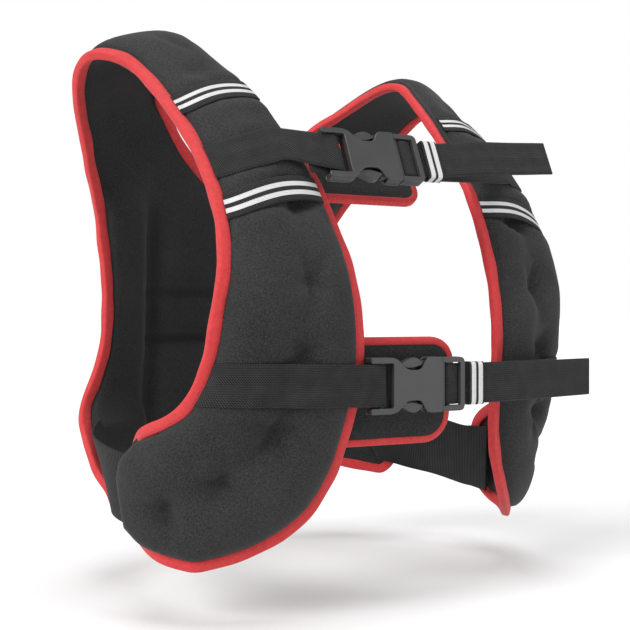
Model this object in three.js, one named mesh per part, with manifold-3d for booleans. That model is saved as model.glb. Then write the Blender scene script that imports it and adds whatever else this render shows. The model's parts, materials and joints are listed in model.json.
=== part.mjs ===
// A weighted vest as it sits on a wearer: padded panels bound at the edge, two buckled straps in
// front, elastic at the sides and a mesh pocket behind. Millimetres, +Z up, the wearer faces -Y.
// The origin is midway between the shoulders, level with the lining where it sits on them.
import * as THREE from "three";
import { mergeVertices } from "three/addons/utils/BufferGeometryUtils.js";
import Module from "manifold-3d";

// Driving dimensions of the whole vest
const HALF_WIDTH = 200;
const DEPTH = 280;
const HEIGHT = 400;

// Padded panels and their edges
const PAD_THICK = 24;
const PAD_EDGE = 5;
const PAD_ROUND = 34;
const LINING_SHARE = 0.22;
const SEAM_BOW = 4;
const BINDING_WIDTH = 9.5;
const BINDING_THICK = 7.6;
const GAP = 0.35;

// Webbing, elastic and the pieces on it
const WEBBING_WIDTH = 30;
const WEBBING_THICK = 1.6;
const BAND_WIDTH = 20;
const BAND_THICK = 1.2;
const SIDE_ELASTIC_WIDTH = 60;
const SIDE_ELASTIC_THICK = 2;
const KEEPER_WIDTH = 14;
const KEEPER_WALL = 1.2;
const KEEPER_CLEARANCE = 0.5;

// Buckle, all along its own length from the open ends of the socket's legs
const BUCKLE_WIDTH = 42;
const BUCKLE_LENGTH = 85;
const BUCKLE_THICK = 10;
const BUCKLE_RIM = 4.5;
const BUCKLE_CORNER = 4;
const SOCKET_LEGS = 20;
const SOCKET_LENGTH = 64;
const SOCKET_WALL = 2;
const SOCKET_CAVITY = 34;
const BAR_WIDTH = 4;
const BAR_THICK = 3;
const SOCKET_BAR_AT = 12;
const NOTCH_START = 29;
const NOTCH_LENGTH = 18;
const NOTCH_DEPTH = 4.5;
const ARM_THICK = 4.6;
const ARM_WIDTH = 5;
const TONGUE_WIDTH = 9;
const SLIDE_GAP = 0.5;
const KEEPER_AT = 4;
const STRAIGHT_PAST_KEEPER = 3;
const SOCKET_TAB = 2;
const PLUG_STEP = 1;
const LOOP_SLACK = 0.15;
const STRAP_CLEARANCE = 0.8;

// Flaps behind the buckles
const FLAP_THICK = 4.5;
const FLAP_BINDING_WIDTH = 5.5;
const FLAP_BINDING_THICK = 6.4;
const FLAP_CLEARANCE = 0.6;

// Back pocket
const POCKET_THICK = 1.5;
const POCKET_LIFT = 0.5;
const POCKET_FIRST_SECTION = 3.4;
const POCKET_LAST_SECTION = 7.6;

// How finely the soft surfaces are faceted
const STEPS_PER_SECTION = 2;
const CELLS_ACROSS = 6;
const STRAP_STEPS = 7;

// Sections of one side, from the tip of the wing up the front, over the shoulder and round the
// neck. Each row is the line from the front or neck edge to the armhole edge, in the middle of
// the binding: x as shares of HALF_WIDTH, y of DEPTH, z of HEIGHT, and the padding of PAD_THICK.
const SIDE_SECTIONS = [
  // section,      front x, y, z,          armhole x, y, z,         padding
  ["wing tip", 0.985, -0.057, -0.908, 0.995, -0.039, -0.812, 0.8],
  ["wing end", 0.975, -0.118, -0.938, 1.002, -0.064, -0.767, 0.9],
  ["wing corner", 0.96, -0.175, -0.955, 1.01, -0.118, -0.735, 1],
  ["wing heel", 0.92, -0.218, -0.964, 1.01, -0.171, -0.72, 1],
  ["wing low", 0.865, -0.257, -0.965, 1.002, -0.218, -0.708, 1],
  ["wing sweep", 0.715, -0.339, -0.936, 0.985, -0.286, -0.682, 1],
  ["wing turn", 0.58, -0.402, -0.885, 0.97, -0.329, -0.645, 1],
  ["flank", 0.49, -0.432, -0.818, 0.96, -0.354, -0.608, 1],
  ["hip", 0.44, -0.452, -0.745, 0.953, -0.371, -0.573, 1],
  ["waist", 0.407, -0.48, -0.642, 0.945, -0.389, -0.505, 1],
  ["rib", 0.405, -0.486, -0.542, 0.93, -0.4, -0.438, 0.95],
  ["low chest", 0.415, -0.463, -0.438, 0.91, -0.379, -0.37, 0.95],
  ["chest", 0.44, -0.411, -0.343, 0.895, -0.339, -0.31, 0.92],
  ["breast", 0.46, -0.357, -0.263, 0.887, -0.289, -0.253, 0.9],
  ["collar", 0.485, -0.296, -0.198, 0.88, -0.221, -0.193, 0.88],
  ["front rise", 0.515, -0.214, -0.125, 0.88, -0.146, -0.14, 0.82],
  ["rise", 0.545, -0.136, -0.068, 0.88, -0.064, -0.087, 0.72],
  ["crest front", 0.59, -0.036, -0.007, 0.895, 0.029, -0.033, 0.6],
  ["crest", 0.62, 0.043, 0.035, 0.935, 0.079, -0.01, 0.52],
  ["crest back", 0.62, 0.125, 0.045, 0.975, 0.15, 0, 0.5],
  ["fall", 0.595, 0.207, 0.028, 0.97, 0.221, -0.013, 0.5],
  ["blade top", 0.54, 0.286, -0.007, 0.94, 0.282, -0.05, 0.52],
  ["blade", 0.48, 0.35, -0.043, 0.88, 0.339, -0.1, 0.55],
  ["yoke", 0.42, 0.371, -0.077, 0.825, 0.375, -0.147, 0.58],
  ["neck side", 0.375, 0.373, -0.113, 0.78, 0.407, -0.195, 0.6],
  ["neck turn", 0.285, 0.386, -0.158, 0.74, 0.429, -0.23, 0.62],
  ["neck low", 0.15, 0.414, -0.203, 0.705, 0.45, -0.263, 0.64],
  ["neck base", 0, 0.443, -0.223, 0.68, 0.466, -0.29, 0.65],
];

// Sections of the back under the neck, from its middle line to the side edge, in the same shares
const BACK_SECTIONS = [
  // section,          middle y, z,     side x, y, z,           padding
  ["neck base", 0.443, -0.223, 0.68, 0.466, -0.29, 0.65],
  ["shoulder blade", 0.468, -0.307, 0.665, 0.468, -0.347, 0.68],
  ["upper back", 0.489, -0.388, 0.655, 0.461, -0.407, 0.7],
  ["middle back", 0.5, -0.482, 0.65, 0.457, -0.487, 0.7],
  ["lower back", 0.5, -0.575, 0.655, 0.464, -0.575, 0.7],
  ["back waist", 0.496, -0.65, 0.685, 0.482, -0.65, 0.68],
  ["back flare", 0.493, -0.7, 0.735, 0.482, -0.705, 0.62],
  ["back hip", 0.489, -0.73, 0.77, 0.45, -0.743, 0.55],
  ["back side", 0.486, -0.755, 0.8, 0.389, -0.782, 0.5],
  ["back lobe", 0.482, -0.772, 0.825, 0.314, -0.83, 0.45],
  ["lobe end", 0.479, -0.785, 0.825, 0.243, -0.87, 0.42],
  ["back hem", 0.475, -0.807, 0.78, 0.264, -0.9, 0.4],
];

// Tack dents of a front panel: place along it in sections, share of the way across, depth, reach
const FRONT_DENTS = [
  // at section, across, depth, reach
  ["low wing", 3.2, 0.43, 8, 15],
  ["wing", 5, 0.5, 8, 15],
  ["hip", 7, 0.48, 8, 16],
  ["waist", 9, 0.45, 6, 15],
  ["ribs", 10.5, 0.42, 6, 15],
  ["chest", 12.1, 0.38, 7, 14],
  ["shoulder", 16.1, 0.5, 4, 16],
];

// Sewn channels across the lining of the back: height as a share of HEIGHT, depth, reach
const BACK_CHANNELS = [
  ["top channel", -0.26, 5, 7],
  ["second channel", -0.35, 5, 7],
  ["third channel", -0.455, 5, 7],
  ["fourth channel", -0.57, 5, 7],
];

// The two buckled straps. Places as shares of HALF_WIDTH, DEPTH and HEIGHT, heights of HEIGHT,
// across as a share of a front panel's width, angles in degrees. A flap's sides are measured
// from the middle of the open end of its buckle's socket: left and right as shares of
// BUCKLE_LENGTH, up, down and its corner's radius as shares of BUCKLE_WIDTH.
const STRAPS = [
  {
    name: "chest",
    buckleAt: [-0.49, -0.418, -0.214],
    turn: 13,
    lean: 24,
    rightHeights: { armhole: -0.243, front: -0.197 },
    leftHeights: { armhole: -0.208, front: -0.212 },
    leaveAcross: 0.36,
    tailEnd: [0.69, -0.515, -0.178],
    flap: { lean: 33, left: -0.21, right: 1.2, up: 0.98, down: 0.38, corner: 0.36 },
  },
  {
    name: "waist",
    buckleAt: [-0.39, -0.516, -0.6435],
    turn: 13,
    lean: 0,
    rightHeights: { armhole: -0.6345, front: -0.6395 },
    leftHeights: { armhole: -0.6445, front: -0.6435 },
    leaveAcross: 0.36,
    tailEnd: [0.82, -0.6, -0.6435],
    flap: { lean: -8, left: -0.32, right: 1.035, up: 0.785, down: 1.19, corner: 0.52 },
  },
];

// Striped bands across each front panel: height at the armhole edge and at the front edge
const BANDS = [
  { name: "upper_band", armhole: -0.129, front: -0.084 },
  { name: "lower_band", armhole: -0.328, front: -0.284 },
];

// Side elastic: its lower and upper edge from inside the wing to inside the back, same shares
const SIDE_ELASTIC = [
  // place,          lower x, y, z,            upper x, y, z
  ["in the wing", 0.9, -0.15, -0.93, 0.95, -0.125, -0.78],
  ["wing end", 0.925, -0.075, -0.925, 0.945, -0.06, -0.78],
  ["wing tip", 0.93, -0.02, -0.922, 0.95, -0.01, -0.78],
  ["side", 0.925, 0.1, -0.908, 0.955, 0.115, -0.766],
  ["back of side", 0.86, 0.18, -0.895, 0.9, 0.25, -0.752],
  ["lobe edge", 0.745, 0.235, -0.875, 0.745, 0.4, -0.738],
  ["in the lobe", 0.655, 0.28, -0.868, 0.66, 0.425, -0.733],
];

// Colours and surface values
const FINISHES = {
  neoprene: [0x3a3a3c, 0.9, 0],
  binding: [0xd83a3c, 0.75, 0],
  webbing: [0x1c1c1e, 0.85, 0],
  elastic: [0x2a2a2c, 0.9, 0],
  buckle: [0x4a4a4d, 0.5, 0],
  mesh: [0x8c8c8e, 0.9, 0],
};

const wasm = await Module();
wasm.setup();

const vest = new THREE.Group();
const point = (x, y, z) => new THREE.Vector3(x, y, z);
const sized = (x, y, z) => point(x * HALF_WIDTH, y * DEPTH, z * HEIGHT);
const mirrored = (p) => point(-p.x, p.y, p.z);
const mix = (a, b, t) => a.clone().lerp(b, t);

function addPiece(name, geometry, finish) {
  const [color, roughness, metalness] = FINISHES[finish];
  const material = new THREE.MeshStandardMaterial({ color, roughness, metalness });
  const mesh = new THREE.Mesh(geometry, material);
  mesh.name = name;
  vest.add(mesh);
}

// A geometry from points and triangles, turned to face out
function closedGeometry(points, triangles) {
  const volume = triangles.reduce((sum, [a, b, c]) => {
    const cross = points[b].clone().cross(points[c]);
    return sum + points[a].dot(cross);
  }, 0);
  const faces = volume < 0 ? triangles.map(([a, b, c]) => [a, c, b]) : triangles;
  const geometry = new THREE.BufferGeometry();
  geometry.setAttribute(
    "position",
    new THREE.Float32BufferAttribute(points.flatMap((p) => p.toArray()), 3),
  );
  geometry.setIndex(faces.flat());
  return geometry;
}

// A smooth value between the rows of a table, at a place counted in rows
function along(rows, at, read) {
  const last = rows.length - 1;
  const i = Math.min(Math.max(Math.floor(at), 0), last - 1);
  const f = at - i;
  const [a, b, c, d] = [i - 1, i, i + 1, i + 2].map((k) => Math.min(Math.max(k, 0), last));
  const curve = (p0, p1, p2, p3) =>
    0.5 * (2 * p1 + (p2 - p0) * f + (2 * p0 - 5 * p1 + 4 * p2 - p3) * f * f +
      (3 * p1 - p0 - 3 * p2 + p3) * f * f * f);
  const [pa, pb, pc, pd] = [a, b, c, d].map((k) => read(rows[k]));
  return point(
    curve(pa.x, pb.x, pc.x, pd.x),
    curve(pa.y, pb.y, pc.y, pd.y),
    curve(pa.z, pb.z, pc.z, pd.z),
  );
}

// A seam surface: inner and outer edge at a place along it, and the bow between them
const sideSurface = {
  last: SIDE_SECTIONS.length - 1,
  inner: (s) => along(SIDE_SECTIONS, s, (r) => sized(r[1], r[2], r[3])),
  outer: (s) => along(SIDE_SECTIONS, s, (r) => sized(r[4], r[5], r[6])),
  bow: (inner, outer, normal) => normal.multiplyScalar(SEAM_BOW),
  thick: (s) => PAD_THICK * along(SIDE_SECTIONS, s, (r) => point(r[7], 0, 0)).x,
};
const backSurface = {
  last: BACK_SECTIONS.length - 1,
  inner: (s) => along(BACK_SECTIONS, s, (r) => sized(0, r[1], r[2])),
  outer: (s) => along(BACK_SECTIONS, s, (r) => sized(r[3], r[4], r[5])),
  // The back's section leaves its middle line level, so it curves only towards the side
  bow: (inner, outer) => point(0, (inner.y - outer.y) / 4, 0),
  thick: (s) => PAD_THICK * along(BACK_SECTIONS, s, (r) => point(r[6], 0, 0)).x,
};

// The seam's point and its outward normal, t going from the inner edge to the outer one
const SMALL_STEP = 0.05;

function seamPoint(surface, s, t) {
  const inner = surface.inner(s);
  const outer = surface.outer(s);
  const middle = (at) => mix(surface.inner(at), surface.outer(at), 0.5);
  const forward = middle(Math.min(s + SMALL_STEP, surface.last))
    .sub(middle(Math.max(s - SMALL_STEP, 0)));
  const normal = outer.clone().sub(inner).cross(forward).normalize();
  return mix(inner, outer, t).addScaledVector(surface.bow(inner, outer, normal), 4 * t * (1 - t));
}

function seamNormal(surface, s, t) {
  const before = Math.max(s - SMALL_STEP, 0);
  const after = Math.min(s + SMALL_STEP, surface.last);
  const alongSeam = seamPoint(surface, after, t).sub(seamPoint(surface, before, t));
  const acrossSeam = seamPoint(surface, s, Math.min(t + SMALL_STEP, 1))
    .sub(seamPoint(surface, s, Math.max(t - SMALL_STEP, 0)));
  return acrossSeam.cross(alongSeam).normalize();
}

// The outline of one side as short straight lines, for the pad's rise from its edge
const OUTLINE_STEPS = 3;
const steps = (count) => Array.from({ length: count + 1 }, (_, k) => k / count);
const sideSteps = steps(sideSurface.last * OUTLINE_STEPS).map((f) => f * sideSurface.last);
const backSteps = steps(backSurface.last * OUTLINE_STEPS).map((f) => f * backSurface.last);
const acrossSteps = steps(3 * OUTLINE_STEPS);
const outline = [
  sideSteps.map(sideSurface.inner),
  sideSteps.map(sideSurface.outer),
  backSteps.map(backSurface.outer),
  acrossSteps.map((t) => seamPoint(sideSurface, 0, t)),
  acrossSteps.map((t) => seamPoint(backSurface, backSurface.last, t)),
].flatMap((run) => run.slice(1).map((end, k) => new THREE.Line3(run[k], end)));

// How far the pad has risen from its edge to its full thickness, as a share
function rise(p) {
  const place = point(Math.abs(p.x), p.y, p.z);
  const near = point(0, 0, 0);
  const distance = outline.reduce((best, line) => {
    line.closestPointToPoint(place, true, near);
    return Math.min(best, near.distanceTo(place));
  }, Infinity);
  const inside = Math.max(distance - BINDING_WIDTH / 2, 0);
  const short = 1 - Math.min(inside / PAD_ROUND, 1);
  return Math.sqrt(1 - short * short);
}

const bell = (distance, reach) => Math.exp(-((distance / reach) ** 2));

const dents = FRONT_DENTS.map(([, at, across, depth, reach]) => ({
  place: seamPoint(sideSurface, at, across),
  depth,
  reach,
}));

// Distance from the seam to the outer face, without dents and with them
const fullLift = (p, thick) => PAD_EDGE / 2 + (thick - PAD_EDGE) * (1 - LINING_SHARE) * rise(p);

function outerLift(p, thick) {
  const sunk = dents.reduce((sum, d) => sum + d.depth * bell(p.distanceTo(d.place), d.reach), 0);
  return Math.max(fullLift(p, thick) - sunk, PAD_EDGE / 2);
}

const liningLift = (p, thick) => PAD_EDGE / 2 + (thick - PAD_EDGE) * LINING_SHARE * rise(p);

function backLiningLift(p, thick) {
  const sunk = BACK_CHANNELS.reduce(
    (sum, [, height, depth, reach]) => sum + depth * bell(p.z - height * HEIGHT, reach),
    0,
  );
  return Math.max(liningLift(p, thick) - sunk * rise(p), PAD_EDGE / 2);
}

// A closed solid from a grid of front points and a grid of back points
function slab(front, back) {
  const rows = front.length;
  const columns = front[0].length;
  const f = (r, c) => r * columns + c;
  const b = (r, c) => rows * columns + r * columns + c;
  const triangles = [];
  const quad = (p, q, r, s) => triangles.push([p, q, r], [p, r, s]);
  for (let r = 0; r < rows - 1; r += 1) {
    for (let c = 0; c < columns - 1; c += 1) {
      quad(f(r, c), f(r, c + 1), f(r + 1, c + 1), f(r + 1, c));
      quad(b(r, c), b(r + 1, c), b(r + 1, c + 1), b(r, c + 1));
    }
    quad(f(r, 0), f(r + 1, 0), b(r + 1, 0), b(r, 0));
    quad(f(r, columns - 1), b(r, columns - 1), b(r + 1, columns - 1), f(r + 1, columns - 1));
  }
  for (let c = 0; c < columns - 1; c += 1) {
    quad(f(0, c), b(0, c), b(0, c + 1), f(0, c + 1));
    quad(f(rows - 1, c), f(rows - 1, c + 1), b(rows - 1, c + 1), b(rows - 1, c));
  }
  return closedGeometry([...front.flat(), ...back.flat()], triangles);
}

// A closed solid through sections that are rings of points
function lofted(rings) {
  const count = rings[0].length;
  const at = (r, k) => r * count + (k % count);
  const triangles = [];
  for (let r = 0; r < rings.length - 1; r += 1) {
    for (let k = 0; k < count; k += 1) {
      triangles.push([at(r, k), at(r, k + 1), at(r + 1, k + 1)]);
      triangles.push([at(r, k), at(r + 1, k + 1), at(r + 1, k)]);
    }
  }
  const last = rings.length - 1;
  for (let k = 1; k < count - 1; k += 1) {
    triangles.push([at(0, 0), at(0, k + 1), at(0, k)]);
    triangles.push([at(last, 0), at(last, k), at(last, k + 1)]);
  }
  return closedGeometry(rings.flat(), triangles);
}

// Places across a section that leave half of the binding's width free at the edges
function acrossPlaces(surface, s, fromMiddle) {
  const width = surface.inner(s).distanceTo(surface.outer(s));
  const edge = (BINDING_WIDTH / 2 + GAP) / width;
  const start = fromMiddle ? 0 : edge;
  return Array.from(
    { length: CELLS_ACROSS + 1 },
    (_, c) => start + (1 - edge - start) * (c / CELLS_ACROSS),
  );
}

// The share of one section that half of the binding's width takes at an end of a surface
function endShare(surface, s, next) {
  const length = seamPoint(surface, s, 0.5).distanceTo(seamPoint(surface, next, 0.5));
  return (BINDING_WIDTH / 2 + GAP) / length;
}

function stations(first, last) {
  const count = Math.round((last - first) * STEPS_PER_SECTION);
  return Array.from({ length: count + 1 }, (_, k) => first + ((last - first) * k) / count);
}

// A grid of seam points, normals and paddings for a side panel, or for the back's left half
function panelGrid(surface, first, last, fromMiddle) {
  return stations(first, last).map((s) =>
    acrossPlaces(surface, s, fromMiddle).map((t) => ({
      p: seamPoint(surface, s, t),
      n: seamNormal(surface, s, t),
      thick: surface.thick(s),
    })),
  );
}

const raised = (grid, lift) =>
  grid.map((row) => row.map(({ p, n, thick }) => p.clone().addScaledVector(n, lift(p, thick))));
const mirrorCell = (cell) => ({ ...cell, p: mirrored(cell.p), n: mirrored(cell.n) });

const backEnd = backSurface.last;
const side = panelGrid(sideSurface, endShare(sideSurface, 0, 1), sideSurface.last, false);
const halfBack = panelGrid(
  backSurface,
  0,
  backEnd - endShare(backSurface, backEnd, backEnd - 1),
  true,
);
halfBack.forEach(([middle]) => {
  middle.n.x = 0;
  middle.n.normalize();
});

// Where a side panel meets the back both take the same row, and the side stops short of it
const lastSideRow = side[side.length - 1];
lastSideRow.forEach((cell, c) => {
  const shared = halfBack[0][c];
  shared.n.add(cell.n).normalize();
  const toward = side[side.length - 2][c].p.clone().sub(shared.p).normalize();
  cell.p = shared.p.clone().addScaledVector(toward, GAP);
  cell.n = shared.n.clone();
});
lastSideRow[0].p.x = GAP / 2;
lastSideRow[0].n.x = 0;
halfBack[0][0].n.x = 0;

const back = halfBack.map((half) => [...half.slice(1).reverse().map(mirrorCell), ...half]);

function addPair(name, geometryFor, finish) {
  addPiece(`${name}_right`, geometryFor(mirrored), finish);
  addPiece(`${name}_left`, geometryFor((p) => p), finish);
}

function addPanels() {
  const outer = raised(side, outerLift);
  const lining = raised(side, (p, thick) => -liningLift(p, thick));
  const placed = (grid, place) => grid.map((row) => row.map(place));
  addPair(
    "front_panel",
    (place) => slab(placed(outer, place), placed(lining, place)),
    "neoprene",
  );
  const backOuter = raised(back, outerLift);
  const backLining = raised(back, (p, thick) => -backLiningLift(p, thick));
  addPiece("back_panel", slab(backOuter, backLining), "neoprene");
}

// The binding's section: shares of its width away from the pad, and of its half thickness
const BINDING_SECTION = [
  [0, -1],
  [0.7, -1],
  [1, -0.4],
  [1, 0.4],
  [0.7, 1],
  [0, 1],
];

// Rings of a binding that runs along the edge cells of a panel to the vest's middle, with the
// pad on one side of it. The run goes on as its own mirror image past the middle.
function bindingRings(cells, inside) {
  const first = cells[0];
  const last = cells[cells.length - 1];
  const beyond = mirrored(cells[cells.length - 2].p);
  const turn = Math.sign(
    cells[1].p.clone().sub(first.p).cross(first.n).dot(first.p.clone().sub(inside)),
  );
  return cells.map((cell, k) => {
    const before = cells[Math.max(k - 1, 0)].p;
    const after = cell === last ? beyond : cells[k + 1].p;
    const toAfter = after.clone().sub(cell.p).normalize();
    const toBefore = k === 0 ? toAfter.clone() : cell.p.clone().sub(before).normalize();
    const p = cell.p.clone();
    const n = cell.n.clone();
    const out = toBefore.add(toAfter).cross(n).multiplyScalar(turn);
    if (cell === last) {
      out.x = 0;
      p.x = GAP;
    }
    out.normalize();
    return BINDING_SECTION.map(([away, up]) =>
      p.clone()
        .addScaledVector(out, GAP + away * BINDING_WIDTH)
        .addScaledVector(n, (up * BINDING_THICK) / 2),
    );
  });
}

// The first cell moves on a little, so that two bindings stand a gap apart at the wing's tip
function shortened([first, second, ...others]) {
  const toward = second.p.clone().sub(first.p).normalize();
  return [{ ...first, p: first.p.clone().addScaledVector(toward, GAP) }, second, ...others];
}

function addBindings() {
  const tip = side[0];
  const half = CELLS_ACROSS / 2;
  const frontCells = [
    ...tip.slice(0, half + 1).reverse(),
    ...side.slice(1, -1).map((row) => row[0]),
    halfBack[0][0],
  ];
  const hem = halfBack[halfBack.length - 1];
  const armholeCells = [
    ...tip.slice(half),
    ...side.slice(1, -1).map((row) => row[CELLS_ACROSS]),
    ...halfBack.map((row) => row[CELLS_ACROSS]),
    ...hem.slice(0, -1).reverse(),
  ];
  const inside = side[2][half].p;
  const front = bindingRings(shortened(frontCells), inside);
  const armhole = bindingRings(shortened(armholeCells), inside);
  const placed = (rings, place) => rings.map((ring) => ring.map(place));
  addPair("front_binding", (place) => lofted(placed(front, place)), "binding");
  addPair("armhole_binding", (place) => lofted(placed(armhole, place)), "binding");
}

const pieceNamed = (name) => vest.children.find((mesh) => mesh.name === name);

// A flat strap along a path of centres and outward normals, with its edges to +Z and -Z
function strapRings(path, width, thick) {
  return path.map(({ p, n }, k) => {
    const before = path[Math.max(k - 1, 0)].p;
    const after = path[Math.min(k + 1, path.length - 1)].p;
    const run = after.clone().sub(before).normalize();
    const up = path[k].up ? path[k].up.clone() : n.clone().cross(run).normalize();
    if (up.z < 0) up.negate();
    return [
      [1, 1],
      [1, -1],
      [-1, -1],
      [-1, 1],
    ].map(([across, out]) =>
      p.clone()
        .addScaledVector(up, (across * width) / 2)
        .addScaledVector(n, (out * thick) / 2),
    );
  });
}

// The place on a front panel's full outer face at a share across and a height
const LOWEST_STRAP_SECTION = 5;
const HIGHEST_STRAP_SECTION = 17;
const HALVINGS = 24;

function onFront(across, height) {
  let low = LOWEST_STRAP_SECTION;
  let high = HIGHEST_STRAP_SECTION;
  const face = (s) => {
    const p = seamPoint(sideSurface, s, across);
    const n = seamNormal(sideSurface, s, across);
    return { p: p.clone().addScaledVector(n, fullLift(p, sideSurface.thick(s))), n };
  };
  for (let k = 0; k < HALVINGS; k += 1) {
    const middle = (low + high) / 2;
    if (face(middle).p.z < height) low = middle;
    else high = middle;
  }
  return face(low);
}

// A path over a front panel from its armhole edge to a share across, on the wearer's left
const ARMHOLE_END = 0.93;
const STEP_CROWDING = 1.4;

function overFront(heights, lastAcross, fromFrontEdge = false) {
  return steps(STRAP_STEPS).map((f) => {
    // Closer steps near the edge, where the pad rolls down to its binding
    const share = ARMHOLE_END + (lastAcross - ARMHOLE_END) * f ** STEP_CROWDING;
    const height = heights.front + (heights.armhole - heights.front) * share;
    return onFront(fromFrontEdge ? 1 - share : share, height * HEIGHT);
  });
}

// Sets a strap's path, on the wearer's left, so that it just clears the panel under every chord
const CHORD_SAMPLES = 10;
const WIDTH_SAMPLES = [-0.5, -0.25, 0, 0.25, 0.5];
const CAST_FROM = 60;
const SEATING_ROUNDS = 2;
const AHEAD = point(-1, 0, 0);

function heightOver(panel, from, to, share, width) {
  const p = mix(from.p, to.p, share);
  const n = mix(from.n, to.n, share).normalize();
  const up = to.p.clone().sub(from.p).cross(n).normalize();
  return WIDTH_SAMPLES.reduce((highest, across) => {
    const start = p.clone().addScaledVector(up, across * width).addScaledVector(n, CAST_FROM);
    const caster = new THREE.Raycaster(start, n.clone().negate());
    const hit = caster.intersectObject(panel)[0];
    return hit ? Math.max(highest, CAST_FROM - hit.distance) : highest;
  }, -Infinity);
}

function resting(panel, path, next, width, thick) {
  const seated = path.map((cell) => {
    const height = heightOver(panel, cell, { ...cell, p: cell.p.clone().add(AHEAD) }, 0, width);
    return { ...cell, p: cell.p.clone().addScaledVector(cell.n, height) };
  });
  for (let round = 0; round < SEATING_ROUNDS; round += 1) {
    const lifts = seated.map(() => 0);
    seated.forEach((cell, k) => {
      const to = seated[k + 1] ?? next;
      if (!to) return;
      steps(CHORD_SAMPLES).forEach((share) => {
        const height = heightOver(panel, cell, to, share, width);
        lifts[k] = Math.max(lifts[k], height);
        if (k + 1 < seated.length) lifts[k + 1] = Math.max(lifts[k + 1], height);
      });
    });
    seated.forEach((cell, k) => cell.p.addScaledVector(cell.n, lifts[k]));
  }
  seated.forEach((cell) => cell.p.addScaledVector(cell.n, STRAP_CLEARANCE + thick / 2));
  return seated;
}

function addBands(panel) {
  BANDS.forEach(({ name, armhole, front }) => {
    const half = overFront({ armhole, front }, 0.5);
    const otherHalf = overFront({ armhole: front, front: armhole }, 0.5, true).reverse();
    const over = [...half, ...otherHalf.slice(1)];
    const path = resting(panel, over, null, BAND_WIDTH, BAND_THICK);
    const rings = strapRings(path, BAND_WIDTH, BAND_THICK);
    const placed = (place) => rings.map((ring) => ring.map(place));
    addPair(name, (place) => lofted(placed(place)), "elastic");
  });
}

// The frame of a buckle: along it, up it and out of it, from the socket's open end
function buckleFrame({ buckleAt, turn, lean }) {
  const t = THREE.MathUtils.degToRad(turn);
  const l = THREE.MathUtils.degToRad(lean);
  const run = point(Math.cos(t), -Math.sin(t), 0);
  const level = point(-Math.sin(t), -Math.cos(t), 0);
  const out = level.clone().multiplyScalar(Math.cos(l)).addScaledVector(point(0, 0, 1), Math.sin(l));
  const up = point(0, 0, Math.cos(l)).addScaledVector(level, -Math.sin(l));
  const origin = sized(...buckleAt);
  return {
    run,
    up,
    out,
    at: (u, v) => origin.clone().addScaledVector(run, u).addScaledVector(out, v),
    // Places a solid drawn with its length on X, its height on Y and its thickness on Z
    place: (geometry) =>
      geometry.applyMatrix4(
        new THREE.Matrix4().makeBasis(run, up, out).setPosition(origin),
      ),
  };
}

// A round of webbing about a bar, from one face of the strap to the other
const LOOP_STEPS = 6;
const LOOP_CLEARANCE = GAP + WEBBING_THICK / 2 + LOOP_SLACK;

function aroundBar(frame, barAt, side, first) {
  return Array.from({ length: LOOP_STEPS + 1 }, (_, k) => {
    const angle = first + (side * Math.PI * k) / LOOP_STEPS;
    const u = Math.cos(angle) * (BAR_WIDTH / 2 + LOOP_CLEARANCE);
    const v = Math.sin(angle) * (BAR_THICK / 2 + LOOP_CLEARANCE);
    const n = frame.run.clone().multiplyScalar(Math.cos(angle))
      .addScaledVector(frame.out, Math.sin(angle));
    return { p: frame.at(barAt + u, v), n, up: frame.up };
  });
}

const LAYER = BAR_THICK / 2 + LOOP_CLEARANCE;
const PLUG_BAR_AT = BUCKLE_LENGTH - BAR_WIDTH / 2;
const KEEPER_MIDDLE = BUCKLE_LENGTH + KEEPER_AT + KEEPER_WIDTH / 2;
const STRAIGHT_END = KEEPER_MIDDLE + KEEPER_WIDTH / 2 + STRAIGHT_PAST_KEEPER;
const turned = (cell) => ({ ...cell, n: cell.n.clone().negate() });

function addStrap(strap, panel, rightEdge) {
  const frame = buckleFrame(strap);
  const flat = (u, v) => ({ p: frame.at(u, v), n: frame.out.clone(), up: frame.up });
  const { name, rightHeights, leftHeights, leaveAcross } = strap;
  const rest = (heights, next) =>
    resting(panel, overFront(heights, leaveAcross), next, WEBBING_WIDTH, WEBBING_THICK);

  const socketTurn = aroundBar(frame, SOCKET_BAR_AT, -1, Math.PI / 2);
  const right = [
    ...rest(rightHeights, mirrorCell(socketTurn[0])).map(mirrorCell),
    ...socketTurn,
    turned(flat(SOCKET_TAB, -LAYER)),
  ];
  const rightRings = strapRings(right, WEBBING_WIDTH, WEBBING_THICK);
  addPiece(`${name}_webbing_right`, lofted(rightRings), "webbing");

  const tail = sized(...strap.tailEnd);
  const underKeeper = flat(STRAIGHT_END, -LAYER);
  const left = [
    ...rest(leftHeights, underKeeper).map(turned),
    turned(underKeeper),
    ...aroundBar(frame, PLUG_BAR_AT, -1, -Math.PI / 2),
    flat(STRAIGHT_END, LAYER),
    { p: tail, n: frame.out, up: frame.up },
  ];
  const leftRings = strapRings(left, WEBBING_WIDTH, WEBBING_THICK);
  addPiece(`${name}_webbing_left`, lofted(leftRings), "webbing");

  addKeeper(name, frame);
  addBuckle(name, frame);
  addFlap(name, buckleFrame({ ...strap, lean: strap.flap.lean }), strap.flap, rightEdge);
}

// A rectangle's outline with rounded corners, drawn round its middle or from its left side
const CORNER_STEPS = 4;

function roundedRectangle(x0, x1, y0, y1, radius) {
  const shape = new THREE.Shape();
  shape.moveTo(x0 + radius, y0);
  shape.lineTo(x1 - radius, y0);
  shape.absarc(x1 - radius, y0 + radius, radius, -Math.PI / 2, 0, false);
  shape.lineTo(x1, y1 - radius);
  shape.absarc(x1 - radius, y1 - radius, radius, 0, Math.PI / 2, false);
  shape.lineTo(x0 + radius, y1);
  shape.absarc(x0 + radius, y1 - radius, radius, Math.PI / 2, Math.PI, false);
  shape.lineTo(x0, y0 + radius);
  shape.absarc(x0 + radius, y0 + radius, radius, Math.PI, Math.PI * 1.5, false);
  return shape;
}

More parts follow.
